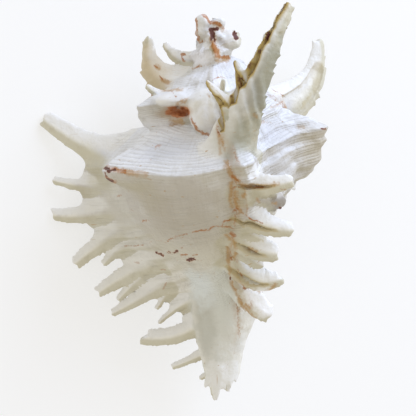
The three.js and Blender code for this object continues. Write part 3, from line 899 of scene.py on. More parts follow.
# %% Only the shell itself, without crumbs
def largest_body(points, faces):
    """Keeps the one connected piece and drops crumbs of the net."""
    label = np.arange(len(points))
    edges = np.concatenate([faces[:, [0, 1]], faces[:, [1, 2]], faces[:, [2, 3]], faces[:, [3, 0]]])
    for _ in range(200):
        low = np.minimum(label[edges[:, 0]], label[edges[:, 1]])
        before = label.copy()
        np.minimum.at(label, edges[:, 0], low)
        np.minimum.at(label, edges[:, 1], low)
        label = label[label]
        label = label[label]
        if (label == before).all():
            break
    names, sizes = np.unique(label, return_counts=True)
    keep = label == names[sizes.argmax()]
    renumber = np.cumsum(keep) - 1
    faces = renumber[faces[keep[faces[:, 0]]]]
    return points[keep], faces, len(names)


POINTS, FACES, bodies = largest_body(POINTS, FACES)
print("kept", len(FACES), "faces of", bodies, "separate bodies at", so_far(), "s")

# %% Pulling the points onto the skin
PROBE = 0.15
PULLED_AT_ONCE = 200000


def pull_to_skin(points):
    """Moves each point onto the skin, and gives the direction that the skin faces there."""
    facing = np.empty_like(points)
    for part in np.array_split(np.arange(len(points)), max(1, len(points) // PULLED_AT_ONCE)):
        p = points[part]
        here = shell_distance(p)
        way = np.empty_like(p)
        for axis in range(3):
            step = np.zeros(3)
            step[axis] = PROBE
            way[:, axis] = (shell_distance(p + step) - here) / PROBE
        size = np.maximum((way ** 2).sum(1), 0.15)
        move = -(here / size)[:, None] * way
        length = np.linalg.norm(move, axis=1)
        move *= np.minimum(1, STEP * 0.7 / np.maximum(length, 1e-9))[:, None]
        points[part] = p + move
        facing[part] = unit(way)
    return points, facing


POINTS, FACING = pull_to_skin(POINTS)
print("pulled at", so_far(), "s")

# %% [markdown]
# ## Weather and growth in relief
#
# A real shell is never smooth. Growth left faint waves across the whorls, the side between the second
# and third varix is rough and stepped, the spire is lumpy, and the apex is worn to an irregular stump.
# Random heights on a lattice, joined smoothly, give these. Each point moves along the skin's slope.
#
# The lattice is turned at odd angles to the shell, so that its rows never line up with the whorls.

# %% Random heights
def lattice(i, j, k, seed):
    h = (i * 73856093 ^ j * 19349663 ^ k * 83492791 ^ seed * 2654435761) & 0x7FFFFFFF
    h = (h ^ (h >> 15)) * 668265263 & 0x7FFFFFFF
    h = (h ^ (h >> 13)) * 374761393 & 0x7FFFFFFF
    return (h >> 7 & 0xFFFF) / 32767.5 - 1


def lumps(points, size, seed):
    """Smooth random heights between -1 and 1, whose lumps are about as wide as size."""
    p = points / size
    base = np.floor(p).astype(np.int64)
    f = p - base
    f = f * f * (3 - 2 * f)
    total = np.zeros(len(points))
    for dx in (0, 1):
        for dy in (0, 1):
            for dz in (0, 1):
                share = np.abs(1 - dx - f[:, 0]) * np.abs(1 - dy - f[:, 1]) * np.abs(1 - dz - f[:, 2])
                total += share * lattice(base[:, 0] + dx, base[:, 1] + dy, base[:, 2] + dz, seed)
    return total


SKEW = turn("X", 33) @ turn("Y", 27) @ turn("Z", 41)
print("a random height:", lumps(np.array([[1.0, 2.0, 3.0]]), 5, 1).round(2))

# %% The weathered skin
def relief(points):
    """How far the weathered skin stands off the plain one, in millimetres."""
    gap, _, back = whorl_distance(points)
    x, y, z = points.T
    points = points @ SKEW
    leafy = np.clip(gap / 4, 0, 1)
    along = (z + read(DEPTH, back)) / read(SHRINK, back)
    # Growth left faint waves, and the flap beside the seam is folded like a fan.
    waves = lumps(np.stack([back, z / 9, np.zeros(len(z))], 1), 5.5, 1)
    on_flap = np.exp(-(((x + 6) / 9) ** 2 + ((z + 49) / 9) ** 2) ** 2) * (y < -20)
    folds = np.sin(13 * np.arctan2(x + 4, -(z + 36)) + lumps(points, 6, 17))
    height = 0.16 * waves * (1 - leafy) + 0.4 * on_flap * folds
    # The side between the second and third varix is rough, stepped and corded.
    rough = np.interp(back, [97, 108, 135, 205, 225], [0, 0.7, 1, 1, 0.2], left=0, right=0.2) * (1 - leafy)
    steps = lumps(np.stack([back, z / 3, np.zeros(len(z))], 1), 6, 9)
    bumps = 1.1 * lumps(points, 9, 2) + 0.5 * lumps(points, 3.2, 3)
    height += rough * (bumps + 0.3 * np.clip(steps * 4, -1, 1))
    cords = np.sin(2 * math.pi * along / 5.2 + 1.5 * lumps(points, 12, 12))
    cords = cords * (0.6 + 0.4 * lumps(points, 5, 13))
    height += rough * 0.28 * cords
    # The plate of the big frond has long creases from its foot towards its tip.
    on_plate = np.exp(-(((x - 14) / 11) ** 2 + ((z + 42) / 15) ** 2) ** 2) * np.clip((-y - 40) / 4, 0, 1)
    creases = np.sin(2 * math.pi * (x + 0.12 * (z + 42)) / 5 + 1.5 * lumps(points, 9, 18))
    height += 0.6 * on_plate * creases
    # Below its shoulder, the lip is rippled where the ribs run out into the wing.
    lipward = np.clip(1 - np.abs(back - 4) / 34, 0, 1) * np.clip((along + 18) / -20, 0, 1) * (1 - leafy)
    ripples = 0.8 * np.sin(2 * math.pi * along / 6.5 + lumps(points, 10, 15))
    height += lipward * (ripples + 0.5 * lumps(points, 3.5, 16))
    # The spire is lumpy and finely pleated, the apex is a stump, and the fronds are a little uneven.
    spire = np.clip((z + 66) / 20, 0, 1) * (1 - leafy)
    pleated = np.interp(back, [395, 410, 480, 500], [0, 1, 1, 0])
    pleats = np.sin(back * 0.9 + 2 * lumps(points, 9, 14)) * pleated
    height += spire * (0.7 * lumps(points, 7, 10) + 0.3 * lumps(points, 3, 4) + 0.12 * pleats)
    apex = np.clip((z + 24) / 9, 0, 1)
    height += apex * (1.1 * lumps(points, 4, 5) + 0.45 * lumps(points, 1.9, 6))
    height += leafy * (0.3 * lumps(points, 4, 7) + 0.15 * lumps(points, 1.8, 8))
    return height


POINTS = POINTS + FACING * relief(POINTS)[:, None]
print("weathered at", so_far(), "s")

# %% [markdown]
# ## From points to one piece
#
# The net has far more faces than the shape needs. A Decimate modifier merges them where the skin is
# nearly flat and leaves them at edges and tips, down to under 200,000 triangles. The points are kept a
# hair inside the solid's box, so that the piece doesn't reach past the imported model.

# %% The mesh, thinned to where the shape needs it
MOST_TRIANGLES = 190000
HAIR = 0.0001


def mesh_of(name, points, faces):
    """The net as a mesh in the row's frame, standing on the table."""
    mesh = bpy.data.meshes.new(name)
    mesh.vertices.add(len(points))
    spots = to_row(points)
    spots[:, 2] -= spots[:, 2].min()
    spots = np.clip(spots, np.array(CAD_BOX[0]) + HAIR, np.array(CAD_BOX[1]) - HAIR)
    mesh.vertices.foreach_set("co", spots.astype(np.float32).ravel())
    mesh.loops.add(faces.size)
    mesh.loops.foreach_set("vertex_index", faces.astype(np.int32).ravel())
    mesh.polygons.add(len(faces))
    mesh.polygons.foreach_set("loop_start", np.arange(0, faces.size, 4, dtype=np.int32))
    mesh.update(calc_edges=True)
    mesh.validate()
    return mesh


def thinned(piece, most):
    """Merges faces on the flatter parts until few enough are left."""
    count = len(piece.data.polygons) * 2
    if count <= most:
        return
    thin = piece.modifiers.new("thin", "DECIMATE")
    thin.ratio = most / count
    graph = bpy.context.evaluated_depsgraph_get()
    fine = bpy.data.meshes.new_from_object(piece.evaluated_get(graph))
    piece.modifiers.clear()
    old = piece.data
    piece.data = fine
    bpy.data.meshes.remove(old)


shell = bpy.data.objects.new("murex_shell", mesh_of("murex_shell", POINTS, FACES))
bpy.context.scene.collection.objects.link(shell)
thinned(shell, MOST_TRIANGLES)
shell.data.shade_smooth()
print("mesh:", len(shell.data.vertices), "points,", len(shell.data.polygons), "faces at", so_far(), "s")

# %% [markdown]
# ## What the finish needs to know
#
# Most colours of the shell follow how it grew: a brown line where one whorl laps over another, a streaked
# band in front of each varix, mustard in the gutters, fine cords round the whorls. Others are painted
# light and painted shade that follow the way the skin faces. So each point of the mesh carries a few
# measured numbers, all smooth over the surface, and the material draws crisp lines from them. Lengths
# are in millimetres:
#
# - back: degrees back from the lip; arc and below: how far below the shoulder, along the skin and down
# - lapping: to the next whorl; beyond: off the whorls, on a frond; seam: to the nearest varix
# - slot, dish: to a narrow or a wide gutter; gutter_depth: how deep that gutter is cut
# - facing: towards a frond's open side; upper: towards its upper margin
# - mouth: to the hollow; inward: round the axis from the lip; canalward: how much the skin faces down

# %% Measures carried by the mesh
def describe(points, slopes):
    """The measures of each point of the skin, by name."""
    gap, lapping, back = whorl_distance(points)
    x, y, z = points.T
    r = np.hypot(x, y)
    radius, shrink = read(RADIUS, back), read(SHRINK, back)
    height = z + read(DEPTH, back)
    rise, drop = height / radius, -height / shrink
    below = np.where(rise > 0, -rise * radius / shrink, drop)
    arc = np.where(rise > 0, -np.interp(rise, RISES, RAMP_ARC), np.interp(drop, DROPS, WALL_ARC))
    leaning = back - np.interp(below, LEAN_DROPS, LEAN_DEGREES)
    seam = np.full(len(points), 99.0)
    for at, _ in VARICES:
        ahead = (leaning - (at - 6)) * np.radians(1) * np.maximum(r, 4)
        seam = np.where(np.abs(ahead) < np.abs(seam), ahead, seam)
    slot, dish, leaf = (np.full(len(points), 20.0) for _ in range(3))
    facing, gutter_depth, upper = (np.zeros(len(points)) for _ in range(3))
    for route in ROUTES:
        near = close_to(route, points)
        if not len(near):
            continue
        body, gutter, open_side, up = frond_distance(route, points[near])
        kind = slot if "slot" in route else dish
        kind[near] = np.minimum(kind[near], np.where(np.abs(body) < 3, np.maximum(gutter, 0), 20))
        closer = body < leaf[near]
        facing[near] = np.where(closer, open_side, facing[near])
        upper[near] = np.where(closer, np.clip(up, -1, 1) * np.clip((4 - body) / 3, 0, 1), upper[near])
        gutter_depth[near] = np.where(closer, route.get("slot", 0), gutter_depth[near])
        leaf[near] = np.minimum(leaf[near], body)
    mouth = passage_distance(points)
    turned = (np.degrees(np.arctan2(y, x)) - LIP_ANGLE) % 360
    inward = np.radians(np.where(turned > 300, turned - 360, turned)) * r
    return {
        "back": back, "arc": arc, "below": below, "lapping": lapping, "beyond": np.clip(gap, -1, 20),
        "seam": seam, "slot": slot, "dish": dish, "mouth": mouth, "facing": np.clip(facing, -2, 2),
        "gutter_depth": gutter_depth, "inward": inward, "canalward": -slopes[:, 2], "upper": upper,
    }


flat = np.empty(len(shell.data.vertices) * 3)
shell.data.vertices.foreach_get("co", flat)
SKIN = (flat.reshape(-1, 3) * 1000 - REST_SHIFT) @ REST_TURN
shell.data.vertex_normals.foreach_get("vector", flat)
SLOPES = flat.reshape(-1, 3) @ REST_TURN
for name, values in describe(SKIN, SLOPES).items():
    layer = shell.data.attributes.new(name, "FLOAT", "POINT")
    layer.data.foreach_set("value", values.astype(np.float32))
    print(name, "from", values.min().round(1), "to", values.max().round(1))

# %% [markdown]
# ## The finish
#
# The outside is weathered calcite. Its surface is chalky and a little porous, so it looks matt, with only
# a wide, weak shine. The ramps that face the spire are the whitest; the wall below the shoulder and the
# leaves of the fronds are a warmer, greyer cream, and faint clouds of both run through it. The whiter
# ramps and the greyer wall are partly painted light and painted shade. Fine cords and growth lines show as
# low relief. Brown lies where dirt and old periostracum stay: in the suture, before each varix, in the
# gutters and in small flecks between the cords.
#
# One node tree holds it all. Each finish is a coat: how much of it there is at a point, mixed over what
# is there already.

# %% Colour helper and node helper
def linear(code):
    """An sRGB hex colour as the linear numbers that a shader takes."""
    parts = [int(code[i:i + 2], 16) / 255 for i in (1, 3, 5)]
    return tuple(c / 12.92 if c <= 0.04045 else ((c + 0.055) / 1.055) ** 2.4 for c in parts) + (1.0,)


calcite = bpy.data.materials.new("weathered_calcite")
calcite.use_nodes = True
tree = calcite.node_tree
tree.nodes.clear()


def add(kind, *values, **settings):
    """Adds a node, feeds its sockets in order, and returns its first output in use."""
    made = tree.nodes.new("ShaderNode" + kind)
    for key, value in settings.items():
        setattr(made, key, value)
    for socket, value in zip([s for s in made.inputs if s.enabled], values):
        if isinstance(value, bpy.types.NodeSocket):
            tree.links.new(value, socket)
        elif value is not None:
            socket.default_value = value
    return next(s for s in made.outputs if s.enabled)


print("white, as the shader takes it:", linear("#ffffff"))

# %% [markdown]
# ## Places for the finish
#
# The mesh's measures come in as attributes. Patterns that have no direction read the plain place on the
# shell. The marks read a place that is squashed along the photograph's line of sight, so that a stroke
# meets the skin also where it stands higher or lower than planned. RISE is how far that line is off
# square to the shell's back.

# %% The measures and the places
PRESSED = 0.85
RISE = math.radians(10)
ATTRIBUTES = {}
for name in shell.data.attributes.keys():
    if shell.data.attributes[name].data_type == "FLOAT":
        made = tree.nodes.new("ShaderNodeAttribute")
        made.attribute_name = name
        ATTRIBUTES[name] = made.outputs["Fac"]
place_on_shell = tree.nodes.new("ShaderNodeTexCoord").outputs["Object"]
DOWN = REST_TURN @ np.array([0, math.cos(RISE), -math.sin(RISE)])
depth = add("VectorMath", place_on_shell, tuple(DOWN), operation="DOT_PRODUCT")
depth = add("Math", depth, PRESSED, operation="MULTIPLY")
depth = add("VectorMath", tuple(DOWN), depth, operation="SCALE")
shallow_place = add("VectorMath", place_on_shell, depth, operation="SUBTRACT")
print("attributes in the material:", len(ATTRIBUTES))

# %% [markdown]
# ## Patterns
#
# A noise of 45 per metre makes clouds about 22 mm wide, one of 150 patches of 7 mm, and one of 700 grains
# of 1.4 mm. Real grains are finer, but would be lost at half a millimetre to a pixel. Streaks, growth
# lines and flecks follow the whorl, so they are noises over degrees back and mm below the shoulder,
# stretched along the growth, across it, or a little of both.

# %% Clouds, flecks and lines
SMOOTH = dict(interpolation_type="SMOOTHSTEP")
CLOUDS_PER_METRE = 45.0
PATCHES_PER_METRE = 150.0
GRAINS_PER_METRE = 700.0
NO_SHIFT = (0, 0, 0)
broad = add("TexNoise", place_on_shell, CLOUDS_PER_METRE, 3.0, 0.55)
middling = add("TexNoise", place_on_shell, PATCHES_PER_METRE, 3.0, 0.6)
fine = add("TexNoise", place_on_shell, GRAINS_PER_METRE, 3.0, 0.6)
spun = add("CombineXYZ", ATTRIBUTES["back"], ATTRIBUTES["arc"], 0.0)
streaks = add("TexNoise", add("Mapping", spun, NO_SHIFT, NO_SHIFT, (0.035, 0.3, 1)), 1.0, 3.0, 0.55)
growth = add("TexNoise", add("Mapping", spun, NO_SHIFT, NO_SHIFT, (0.55, 0.03, 1)), 1.0, 3.0, 0.6)
flecks = add("TexNoise", add("Mapping", spun, NO_SHIFT, NO_SHIFT, (0.22, 0.5, 1)), 1.0, 2.0, 0.6)
on_whorl = add("MapRange", ATTRIBUTES["beyond"], 1.2, 0.2, 0.0, 1.0, **SMOOTH)
on_ramp = add("MapRange", ATTRIBUTES["below"], 1.5, -1.5, 0.0, 1.0, **SMOOTH)
leaf = add("MapRange", ATTRIBUTES["beyond"], 0.5, 6.0, 0.0, 1.0, **SMOOTH)
print("nodes so far:", len(tree.nodes))

# %% Colours of the outside
WALL_COLOUR = linear("#c6c1b8")
RAMP_COLOUR = linear("#d3d4d8")
LEAF_COLOUR = linear("#efede4")
CLOUD_COLOUR = linear("#dedcd6")
PAINTED_SHADE_OLIVE = linear("#b6ad8b")
PAINTED_LIGHT_WHITE = linear("#eceff5")
PAINTED_SHADE_CREAM = linear("#bdb695")
DUST_COLOUR = linear("#b4aea4")
BROWN = linear("#a86824")
DARK_BROWN = linear("#562009")
ORANGE = linear("#b3894c")
OCHRE = linear("#a88242")
MUSTARD = linear("#b39b55")
RGBA = dict(data_type="RGBA")
print("the wall's colour:", [round(c, 3) for c in WALL_COLOUR])

# %% [markdown]
# ## The pale coats, with painted light and shade
#
# From the wall's grey cream outwards: whiter on the ramps, warmer on the leaves and far down the wall,
# olive on the fronds' open side, then clouds and dust. The whiter ramps, the paler lower wall, the greyer
# wall and the olive open side are partly painted light and painted shade. Skin that faces the canal gets
# painted shade in olive, and skin that faces the apex painted light in a cool white. The lower half of
# each frond gets painted shade in cream and its upper half painted light.

# %% Whorls, leaves, clouds and dust
# Partly painted light and shade: paler ramps, a greyer wall below the shoulder, paler again far down it.
base = add("Mix", on_ramp, WALL_COLOUR, RAMP_COLOUR, **RGBA)
low = add("MapRange", ATTRIBUTES["below"], 30.0, 62.0, 0.0, 0.8, **SMOOTH)
base = add("Mix", low, base, LEAF_COLOUR, **RGBA)
base = add("Mix", leaf, base, LEAF_COLOUR, **RGBA)
# Partly painted shade: olive on the fronds' open side, the side that lies in shade.
open_side = add("MapRange", ATTRIBUTES["facing"], 0.1, 0.7, 0.0, 0.3, **SMOOTH)
open_side = add("Math", open_side, ATTRIBUTES["gutter_depth"], operation="MULTIPLY")
base = add("Mix", open_side, base, PAINTED_SHADE_OLIVE, **RGBA)
clouds = add("MapRange", broad, 0.45, 0.68, 0.0, 0.75, **SMOOTH)
base = add("Mix", clouds, base, CLOUD_COLOUR, **RGBA)
dull = add("MapRange", middling, 0.52, 0.75, 0.0, 0.4, **SMOOTH)
base = add("Mix", dull, base, DUST_COLOUR, **RGBA)
print("nodes with the whorls' coats:", len(tree.nodes))

# %% Painted shade and light on the sides and on the fronds' halves
# Painted shade: skin that faces the canal is mixed towards olive.
canal_side_painted_shade = add("MapRange", ATTRIBUTES["canalward"], 0.15, 0.9, 0.0, 0.45, **SMOOTH)
base = add("Mix", canal_side_painted_shade, base, PAINTED_SHADE_OLIVE, **RGBA)
# Painted light: skin that faces the apex is mixed towards a cool white.
apex_side_painted_light = add("MapRange", ATTRIBUTES["canalward"], -0.1, -0.7, 0.0, 0.7, **SMOOTH)
base = add("Mix", apex_side_painted_light, base, PAINTED_LIGHT_WHITE, **RGBA)
# Painted shade on the lower half of each frond, painted light on its upper half.
painted_shade_half = add("MapRange", ATTRIBUTES["upper"], 0.1, -0.35, 0.0, 0.6, **SMOOTH)
base = add("Mix", painted_shade_half, base, PAINTED_SHADE_CREAM, **RGBA)
painted_light_half = add("MapRange", ATTRIBUTES["upper"], 0.0, 0.4, 0.0, 0.65, **SMOOTH)
base = add("Mix", painted_light_half, base, PAINTED_LIGHT_WHITE, **RGBA)
grown = add("Math", add("MapRange", growth, 0.5, 0.8, 0.0, 0.35, **SMOOTH), on_whorl, operation="MULTIPLY")
base = add("Mix", grown, base, DUST_COLOUR, **RGBA)
print("nodes with the sides' coats:", len(tree.nodes))

# %% [markdown]
# ## Painted shade and light in clouds
#
# Most of these clouds are painted shade and painted light at single places: grey ones where the shell
# lies in shade, such as the big frond's plate, the leaf under the back fronds, the faces low on the right
# and the canal's left side, and near-white ones where it is lit, such as the flap, the top of the spire
# and a lower frond. Each is a soft, uneven cloud: its middle and radii in mm, its colour, and how much of
# it there is. The painted light on the fronds' upper half comes last, so that no cloud dulls it.

# %% Painted shade and light that sit in one place
PAINTED_LIGHT_MARGIN = linear("#e8e5da")
PAINTED_SHADE_LIGHT_CLOUDS = [
    ((25, -46, -36), (17, 18, 34), "#9a9883", 0.85), ((6, -44, -58), (12, 14, 14), "#a3a18c", 0.8),
    ((-40, -34, -84), (16, 14, 12), "#b5ac8c", 0.4), ((-20, -36, -94), (30, 20, 20), "#ada490", 0.5),
    ((-6, -14, -140), (9, 14, 26), "#d9dcd3", 0.7), ((48, -8, -70), (13, 16, 13), "#b9ae94", 0.6),
    ((-62, 2, -80), (16, 10, 8), "#b9b295", 0.75), ((-33, 4, -28), (13, 12, 17), "#cdb994", 0.7),
    ((-15, -8, -152), (6, 14, 28), "#98927a", 0.7), ((26, -38, -92), (8, 10, 9), "#8e857c", 0.8),
    ((-9, -12, -152), (14, 18, 44), "#d3d5cd", 0.6), ((-55, 2, -110), (26, 20, 40), "#dddccf", 0.35),
    ((-7, -29, -49), (11, 9, 10), "#e9eaee", 0.7), ((-22, -20, -42), (10, 8, 6), "#e6e5e4", 0.6),
    ((-7, -7, -22), (12, 9, 5), "#f4f4f8", 0.85), ((-72, 10, -68), (14, 12, 8), "#d2cdb4", 0.5),
    ((14, -50, -39), (9, 10, 12), "#98968c", 0.5), ((27, -19, -62), (12, 12, 9), "#cdced2", 0.6),
    ((26, -28, -78), (11, 12, 9), "#b5b1aa", 0.6), ((14, -24, -143), (11, 12, 10), "#fcfdff", 0.9),
    ((-16, -9, -138), (8, 12, 14), "#e3e8e6", 0.75), ((-35, -11, -55), (14, 12, 8), "#f0f1f4", 0.7),
    ((-26, -28, -64), (16, 16, 7), "#c3c5cb", 0.5),
]
# Each cloud mixes its colour over what is there; most are painted shade and painted light.
for middle, radii, code, most in PAINTED_SHADE_LIGHT_CLOUDS:
    off = add("VectorMath", place_on_shell, tuple(to_row(middle)), operation="SUBTRACT")
    off = add("VectorMath", off, tuple(1000 / np.array([radii[0], radii[2], radii[1]])), operation="MULTIPLY")
    uneven = add("MapRange", middling, 0.3, 0.7, -0.25, 0.25)
    off = add("Math", add("VectorMath", off, operation="LENGTH"), uneven, operation="ADD")
    base = add("Mix", add("MapRange", off, 1.25, 0.35, 0.0, most, **SMOOTH), base, linear(code), **RGBA)
# Painted light on the fronds' upper margins, laid over the clouds.
base = add("Mix", add("Math", painted_light_half, 0.75, operation="MULTIPLY"), base, PAINTED_LIGHT_MARGIN, **RGBA)
print("tints:", len(PAINTED_SHADE_LIGHT_CLOUDS))

# %% [markdown]
# ## Brown in the joints
#
# Where one whorl laps over the next, a thin brown line fills the joint, with orange beside it. In front
# of each varix runs a stained band with darker strands in it, the edge of an earlier lip. Both are
# patchy, because rain and sand have cleaned them unevenly, and the old varices have nearly none left.

# %% Brown where one whorl laps over another
wander = add("MapRange", middling, 0.3, 0.7, -0.8, 1.4)
lap = add("Math", ATTRIBUTES["lapping"], wander, operation="SUBTRACT")
lap = add("Math", lap, add("MapRange", broad, 0.4, 0.6, 0.8, -0.3), operation="ADD")
lap = add("Math", lap, add("MapRange", ATTRIBUTES["back"], 330.0, 520.0, 0.9, 0.0), operation="ADD")
base = add("Mix", add("MapRange", lap, 0.9, 0.3, 0.0, 0.35, **SMOOTH), base, ORANGE, **RGBA)
base = add("Mix", add("MapRange", lap, 0.4, 0.0, 0.0, 0.8, **SMOOTH), base, BROWN, **RGBA)
print("nodes with the joints:", len(tree.nodes))

# %% The stained band before each varix
strands = add("Math", ATTRIBUTES["seam"], add("MapRange", fine, 0.2, 0.8, -1.6, 1.6), operation="ADD")
strands = add("Math", strands, 2.2, operation="PINGPONG")
strands = add("MapRange", strands, 0.5, 0.15, 0.0, 1.0, **SMOOTH)
behind = add("Math", ATTRIBUTES["seam"], add("MapRange", broad, 0.35, 0.65, -3.6, 1.6), operation="ADD")
near_seam = add("MapRange", add("Math", behind, operation="ABSOLUTE"), 4.2, 1.0, 0.0, 1.0, **SMOOTH)
patchy = add("MapRange", middling, 0.38, 0.58, 0.15, 1.0, **SMOOTH)
young = add("MapRange", ATTRIBUTES["back"], 330.0, 420.0, 1.0, 0.12, **SMOOTH)
near_seam = add("Math", near_seam, young, operation="MULTIPLY")
seam = add("Math", add("Math", strands, near_seam, operation="MULTIPLY"), patchy, operation="MULTIPLY")
stain = add("Math", near_seam, patchy, operation="MULTIPLY")
base = add("Mix", add("Math", stain, 0.26, operation="MULTIPLY"), base, OCHRE, **RGBA)
base = add("Mix", add("Math", seam, 0.6, operation="MULTIPLY"), base, BROWN, **RGBA)
print("nodes with the bands:", len(tree.nodes))

# %% [markdown]
# ## Mustard in the gutters, and flecks
#
# The gutters of the fronds still hold old growth skin, mustard in the whole groove. The bottom of the
# deepest is darker, nearly black brown, in patches. Small orange flecks lie in a few patches of the body.

# %% Mustard and brown in the gutters
dished = add("MapRange", ATTRIBUTES["dish"], 1.0, 0.0, 0.0, 0.3, **SMOOTH)
base = add("Mix", dished, base, MUSTARD, **RGBA)
slotted = add("MapRange", ATTRIBUTES["slot"], 1.0, 0.2, 0.0, 1.0, **SMOOTH)
slotted = add("Math", slotted, ATTRIBUTES["gutter_depth"], operation="MULTIPLY")
base = add("Mix", slotted, base, MUSTARD, **RGBA)
groove_bottom_dark = add("MapRange", ATTRIBUTES["slot"], 0.3, 0.02, 0.0, 1.0, **SMOOTH)
groove_bottom_dark = add("Math", groove_bottom_dark, add("MapRange", ATTRIBUTES["gutter_depth"], 0.6, 1.0, 0.0, 1.0), operation="MULTIPLY")
groove_bottom_dark = add("Math", groove_bottom_dark, patchy, operation="MULTIPLY")
base = add("Mix", groove_bottom_dark, base, DARK_BROWN, **RGBA)
print("nodes with the gutters:", len(tree.nodes))

# %% Flecks between the cords
specks = add("MapRange", flecks, 0.66, 0.74, 0.0, 0.8, **SMOOTH)
where = add("MapRange", broad, 0.46, 0.58, 0.0, 1.0, **SMOOTH)
specks = add("Math", specks, where, operation="MULTIPLY")
base = add("Mix", specks, base, ORANGE, **RGBA)
print("nodes with the flecks:", len(tree.nodes))

# %% [markdown]
# ## Marks
#
# Some marks are scars that sit in one place: the dark outline of the worn knob, a hairline crack that
# runs along a cord of the body, dark crescents under it, and the brown edge of the flap. A painted image
# could hold them, but strokes stay crisp at any size. Each is a row of points near the skin, in mm, after
# half its width. The points were picked in the photograph and carried along its line of sight to a draft
# of the mesh, so some lie up to 12 mm in front of the final skin or behind it. Dark strokes are the
# crispest, tan ones the softest, and they are laid tan first.

# %% Dark strokes: the worn knob, the pits under the crack, the apex
DARK_LINES = [
    (0.8, (-57.8, -24, -71.2), (-55.5, -29, -71.8)), (0.4, (-57.6, -27, -73.3), (-57.3, -27.3, -74.6)),
    (0.5, (-55, -29, -71.8), (-52.5, -31, -71.3)), (0.6, (-57.2, -27, -76), (-54.8, -28.7, -77)),
    (0.6, (-38, -5, -119), (-34.5, -8, -120)),
    (0.6, (-31, -20, -116.5), (-28.5, -22, -117), (-26, -26, -115)),
    (0.7, (-21.5, -23, -121), (-18, -25, -120)), (0.8, (-0.5, -7, -8), (2, -7, -8)),
    (1.0, (-0.7, -5, -8.3), (-0.4, -5, -10.7), (-0.1, -7, -13.2)),
    (1.0, (10.5, -3, -11.5), (11.5, -4, -13.5)), (0.5, (-1.5, -40, -55.5), (-1, -42, -56.5)),
    (0.4, (-1, -17, -132.5), (-1, -17, -133.5)), (0.3, (51, -11, -61.5), (52.5, -11, -61.5)),
    (0.4, (25, -38, -95), (26, -38, -95.5)),
]
print("dark strokes:", len(DARK_LINES))

# %% Brown strokes: the crack, the flap's edge, the seam, the fronds' feet, the apex
BROWN_LINES = [
    (1.2, (-26.5, -25.3, -45.2), (-23.8, -25.9, -45.9), (-20, -25.9, -46.2)),
    (1.1, (-57.8, -24, -70.5), (-53, -31, -71), (-47.6, -35.5, -71.8)),
    (0.8, (-57.5, -27, -75.4), (-54.6, -28.7, -77.2), (-53, -30, -77.2)),
    (0.35, (-58, 1, -72), (-50.5, -26, -69.5)), (0.6, (-32.5, -24, -63), (-30, -25, -62)),
    (0.4, (-55, -4, -88.5), (-52.5, -8, -88)), (0.35, (-43.5, -30, -84.5), (-41, -33, -84)),
    (0.25, (-54, 4, -116.5), (-43.5, -4, -115)), (0.3, (-43.5, -4, -115), (-36, -21, -110)),
    (0.35, (-36, -21, -110), (-31.5, -27, -109.5), (-25.5, -35, -105.5), (-20.5, -37, -104.5)),
    (0.35, (-17.5, -39, -103.5), (-10, -41, -102.5), (-6, -41, -101), (-3, -41, -101.5)),
    (0.5, (-24, -25, -117.5), (-21.5, -27, -117)), (0.5, (-28.5, -14, -122.5), (-26.5, -17, -122)),
    (0.5, (-24, -29, -113), (-23, -31, -112)), (0.4, (-19, -28, -117.5), (-16.5, -29, -116.5)),
    (0.35, (-16, -27, -121), (-13.5, -28, -120)), (0.35, (-31, -13, -125), (-29, -14, -124.5)),
    (0.4, (-42, -20, -99.5), (-39, -22, -99)), (0.35, (-45, -18, -104), (-42.5, -20, -103.5)),
    (0.35, (-41, -18, -108), (-38, -21, -107)), (0.4, (-50, -12, -95), (-47, -16, -94.5)),
    (0.4, (-36, 0, -129.5), (-34.5, 0, -130)), (0.5, (-50, 4, -125.5), (-48, 4, -126)),
    (0.4, (-36.5, 2, -140.5), (-34, 1, -137)),
    (0.5, (-15.5, -24, -47), (-13.5, -31, -51), (-11, -31, -55), (-8.5, -31, -57), (-4, -32, -57.5)),
    (0.5, (-4, -33, -57.5), (-1.5, -40, -56)), (0.4, (4.5, -43, -92.5), (6.5, -45, -94.5)),
    (0.5, (6.5, -45, -94.5), (10.5, -45, -97.5), (16, -45, -101)),
    (0.35, (2, -41, -98.5), (-2.5, -41, -99), (-3, -40, -101.5)),
    (0.35, (-4.5, -40, -101.5), (-1, -40, -102), (2.5, -38, -104)),
    (0.7, (2.5, -42, -94.5), (3.5, -42, -94)), (0.8, (1, -36, -106), (2.5, -36, -107.5)),
    (0.5, (0.5, -25, -120.5), (0.5, -26, -121.5)), (0.4, (3, -24, -126.5), (5, -27, -129.5)),
    (0.7, (6, -20, -138), (7.5, -20, -138)), (0.5, (3.5, -47, -76.5), (6, -48, -79)),
    (0.4, (3, -46, -82.5), (6, -47, -82)), (0.5, (13.5, -48, -82), (17, -50, -82.5)),
    (0.3, (25.5, -51, -83.5), (28, -51, -84)),
    (1.2, (-0.1, -7, -13.2), (0, -13, -16), (1.3, -13, -18.5), (1.1, -13, -21.4)),
    (0.9, (1.1, -13, -21.4), (3.6, -9.5, -22.2), (7, -5, -23.2)),
    (0.9, (-7.8, -3, -3.8), (-8.4, -4, -10.2), (-7, -4, -12.7)),
    (1.0, (-4.1, -4, -1.1), (-1.8, -3, -2.8), (-0.4, -4, -4.8)),
    (0.8, (-16.2, 2, -19.8), (-14.1, -2, -19.2)),
    (0.5, (-16.2, 2, -19.8), (-16, 2, -23.4), (-12.4, -3, -23.3)),
    (0.8, (1, -4.5, -4.9), (3.4, -5, -6.1), (5.3, -4, -8.3)), (0.4, (-22.5, -14, -37.5), (-20, -24, -39)),
    (0.4, (-34.5, -9, -36), (-32.5, -9, -38.5)), (0.4, (-30.5, 3, -24.5), (-29, 4, -25.5)),
    (0.35, (-28, 3, -30), (-26.5, 3, -32.5)), (0.35, (-2, -23, -32.5), (0.5, -20, -31.5), (4, -19, -32)),
    (0.35, (29, 20, -42.5), (37, 20, -48)),
]
print("brown strokes:", len(BROWN_LINES))

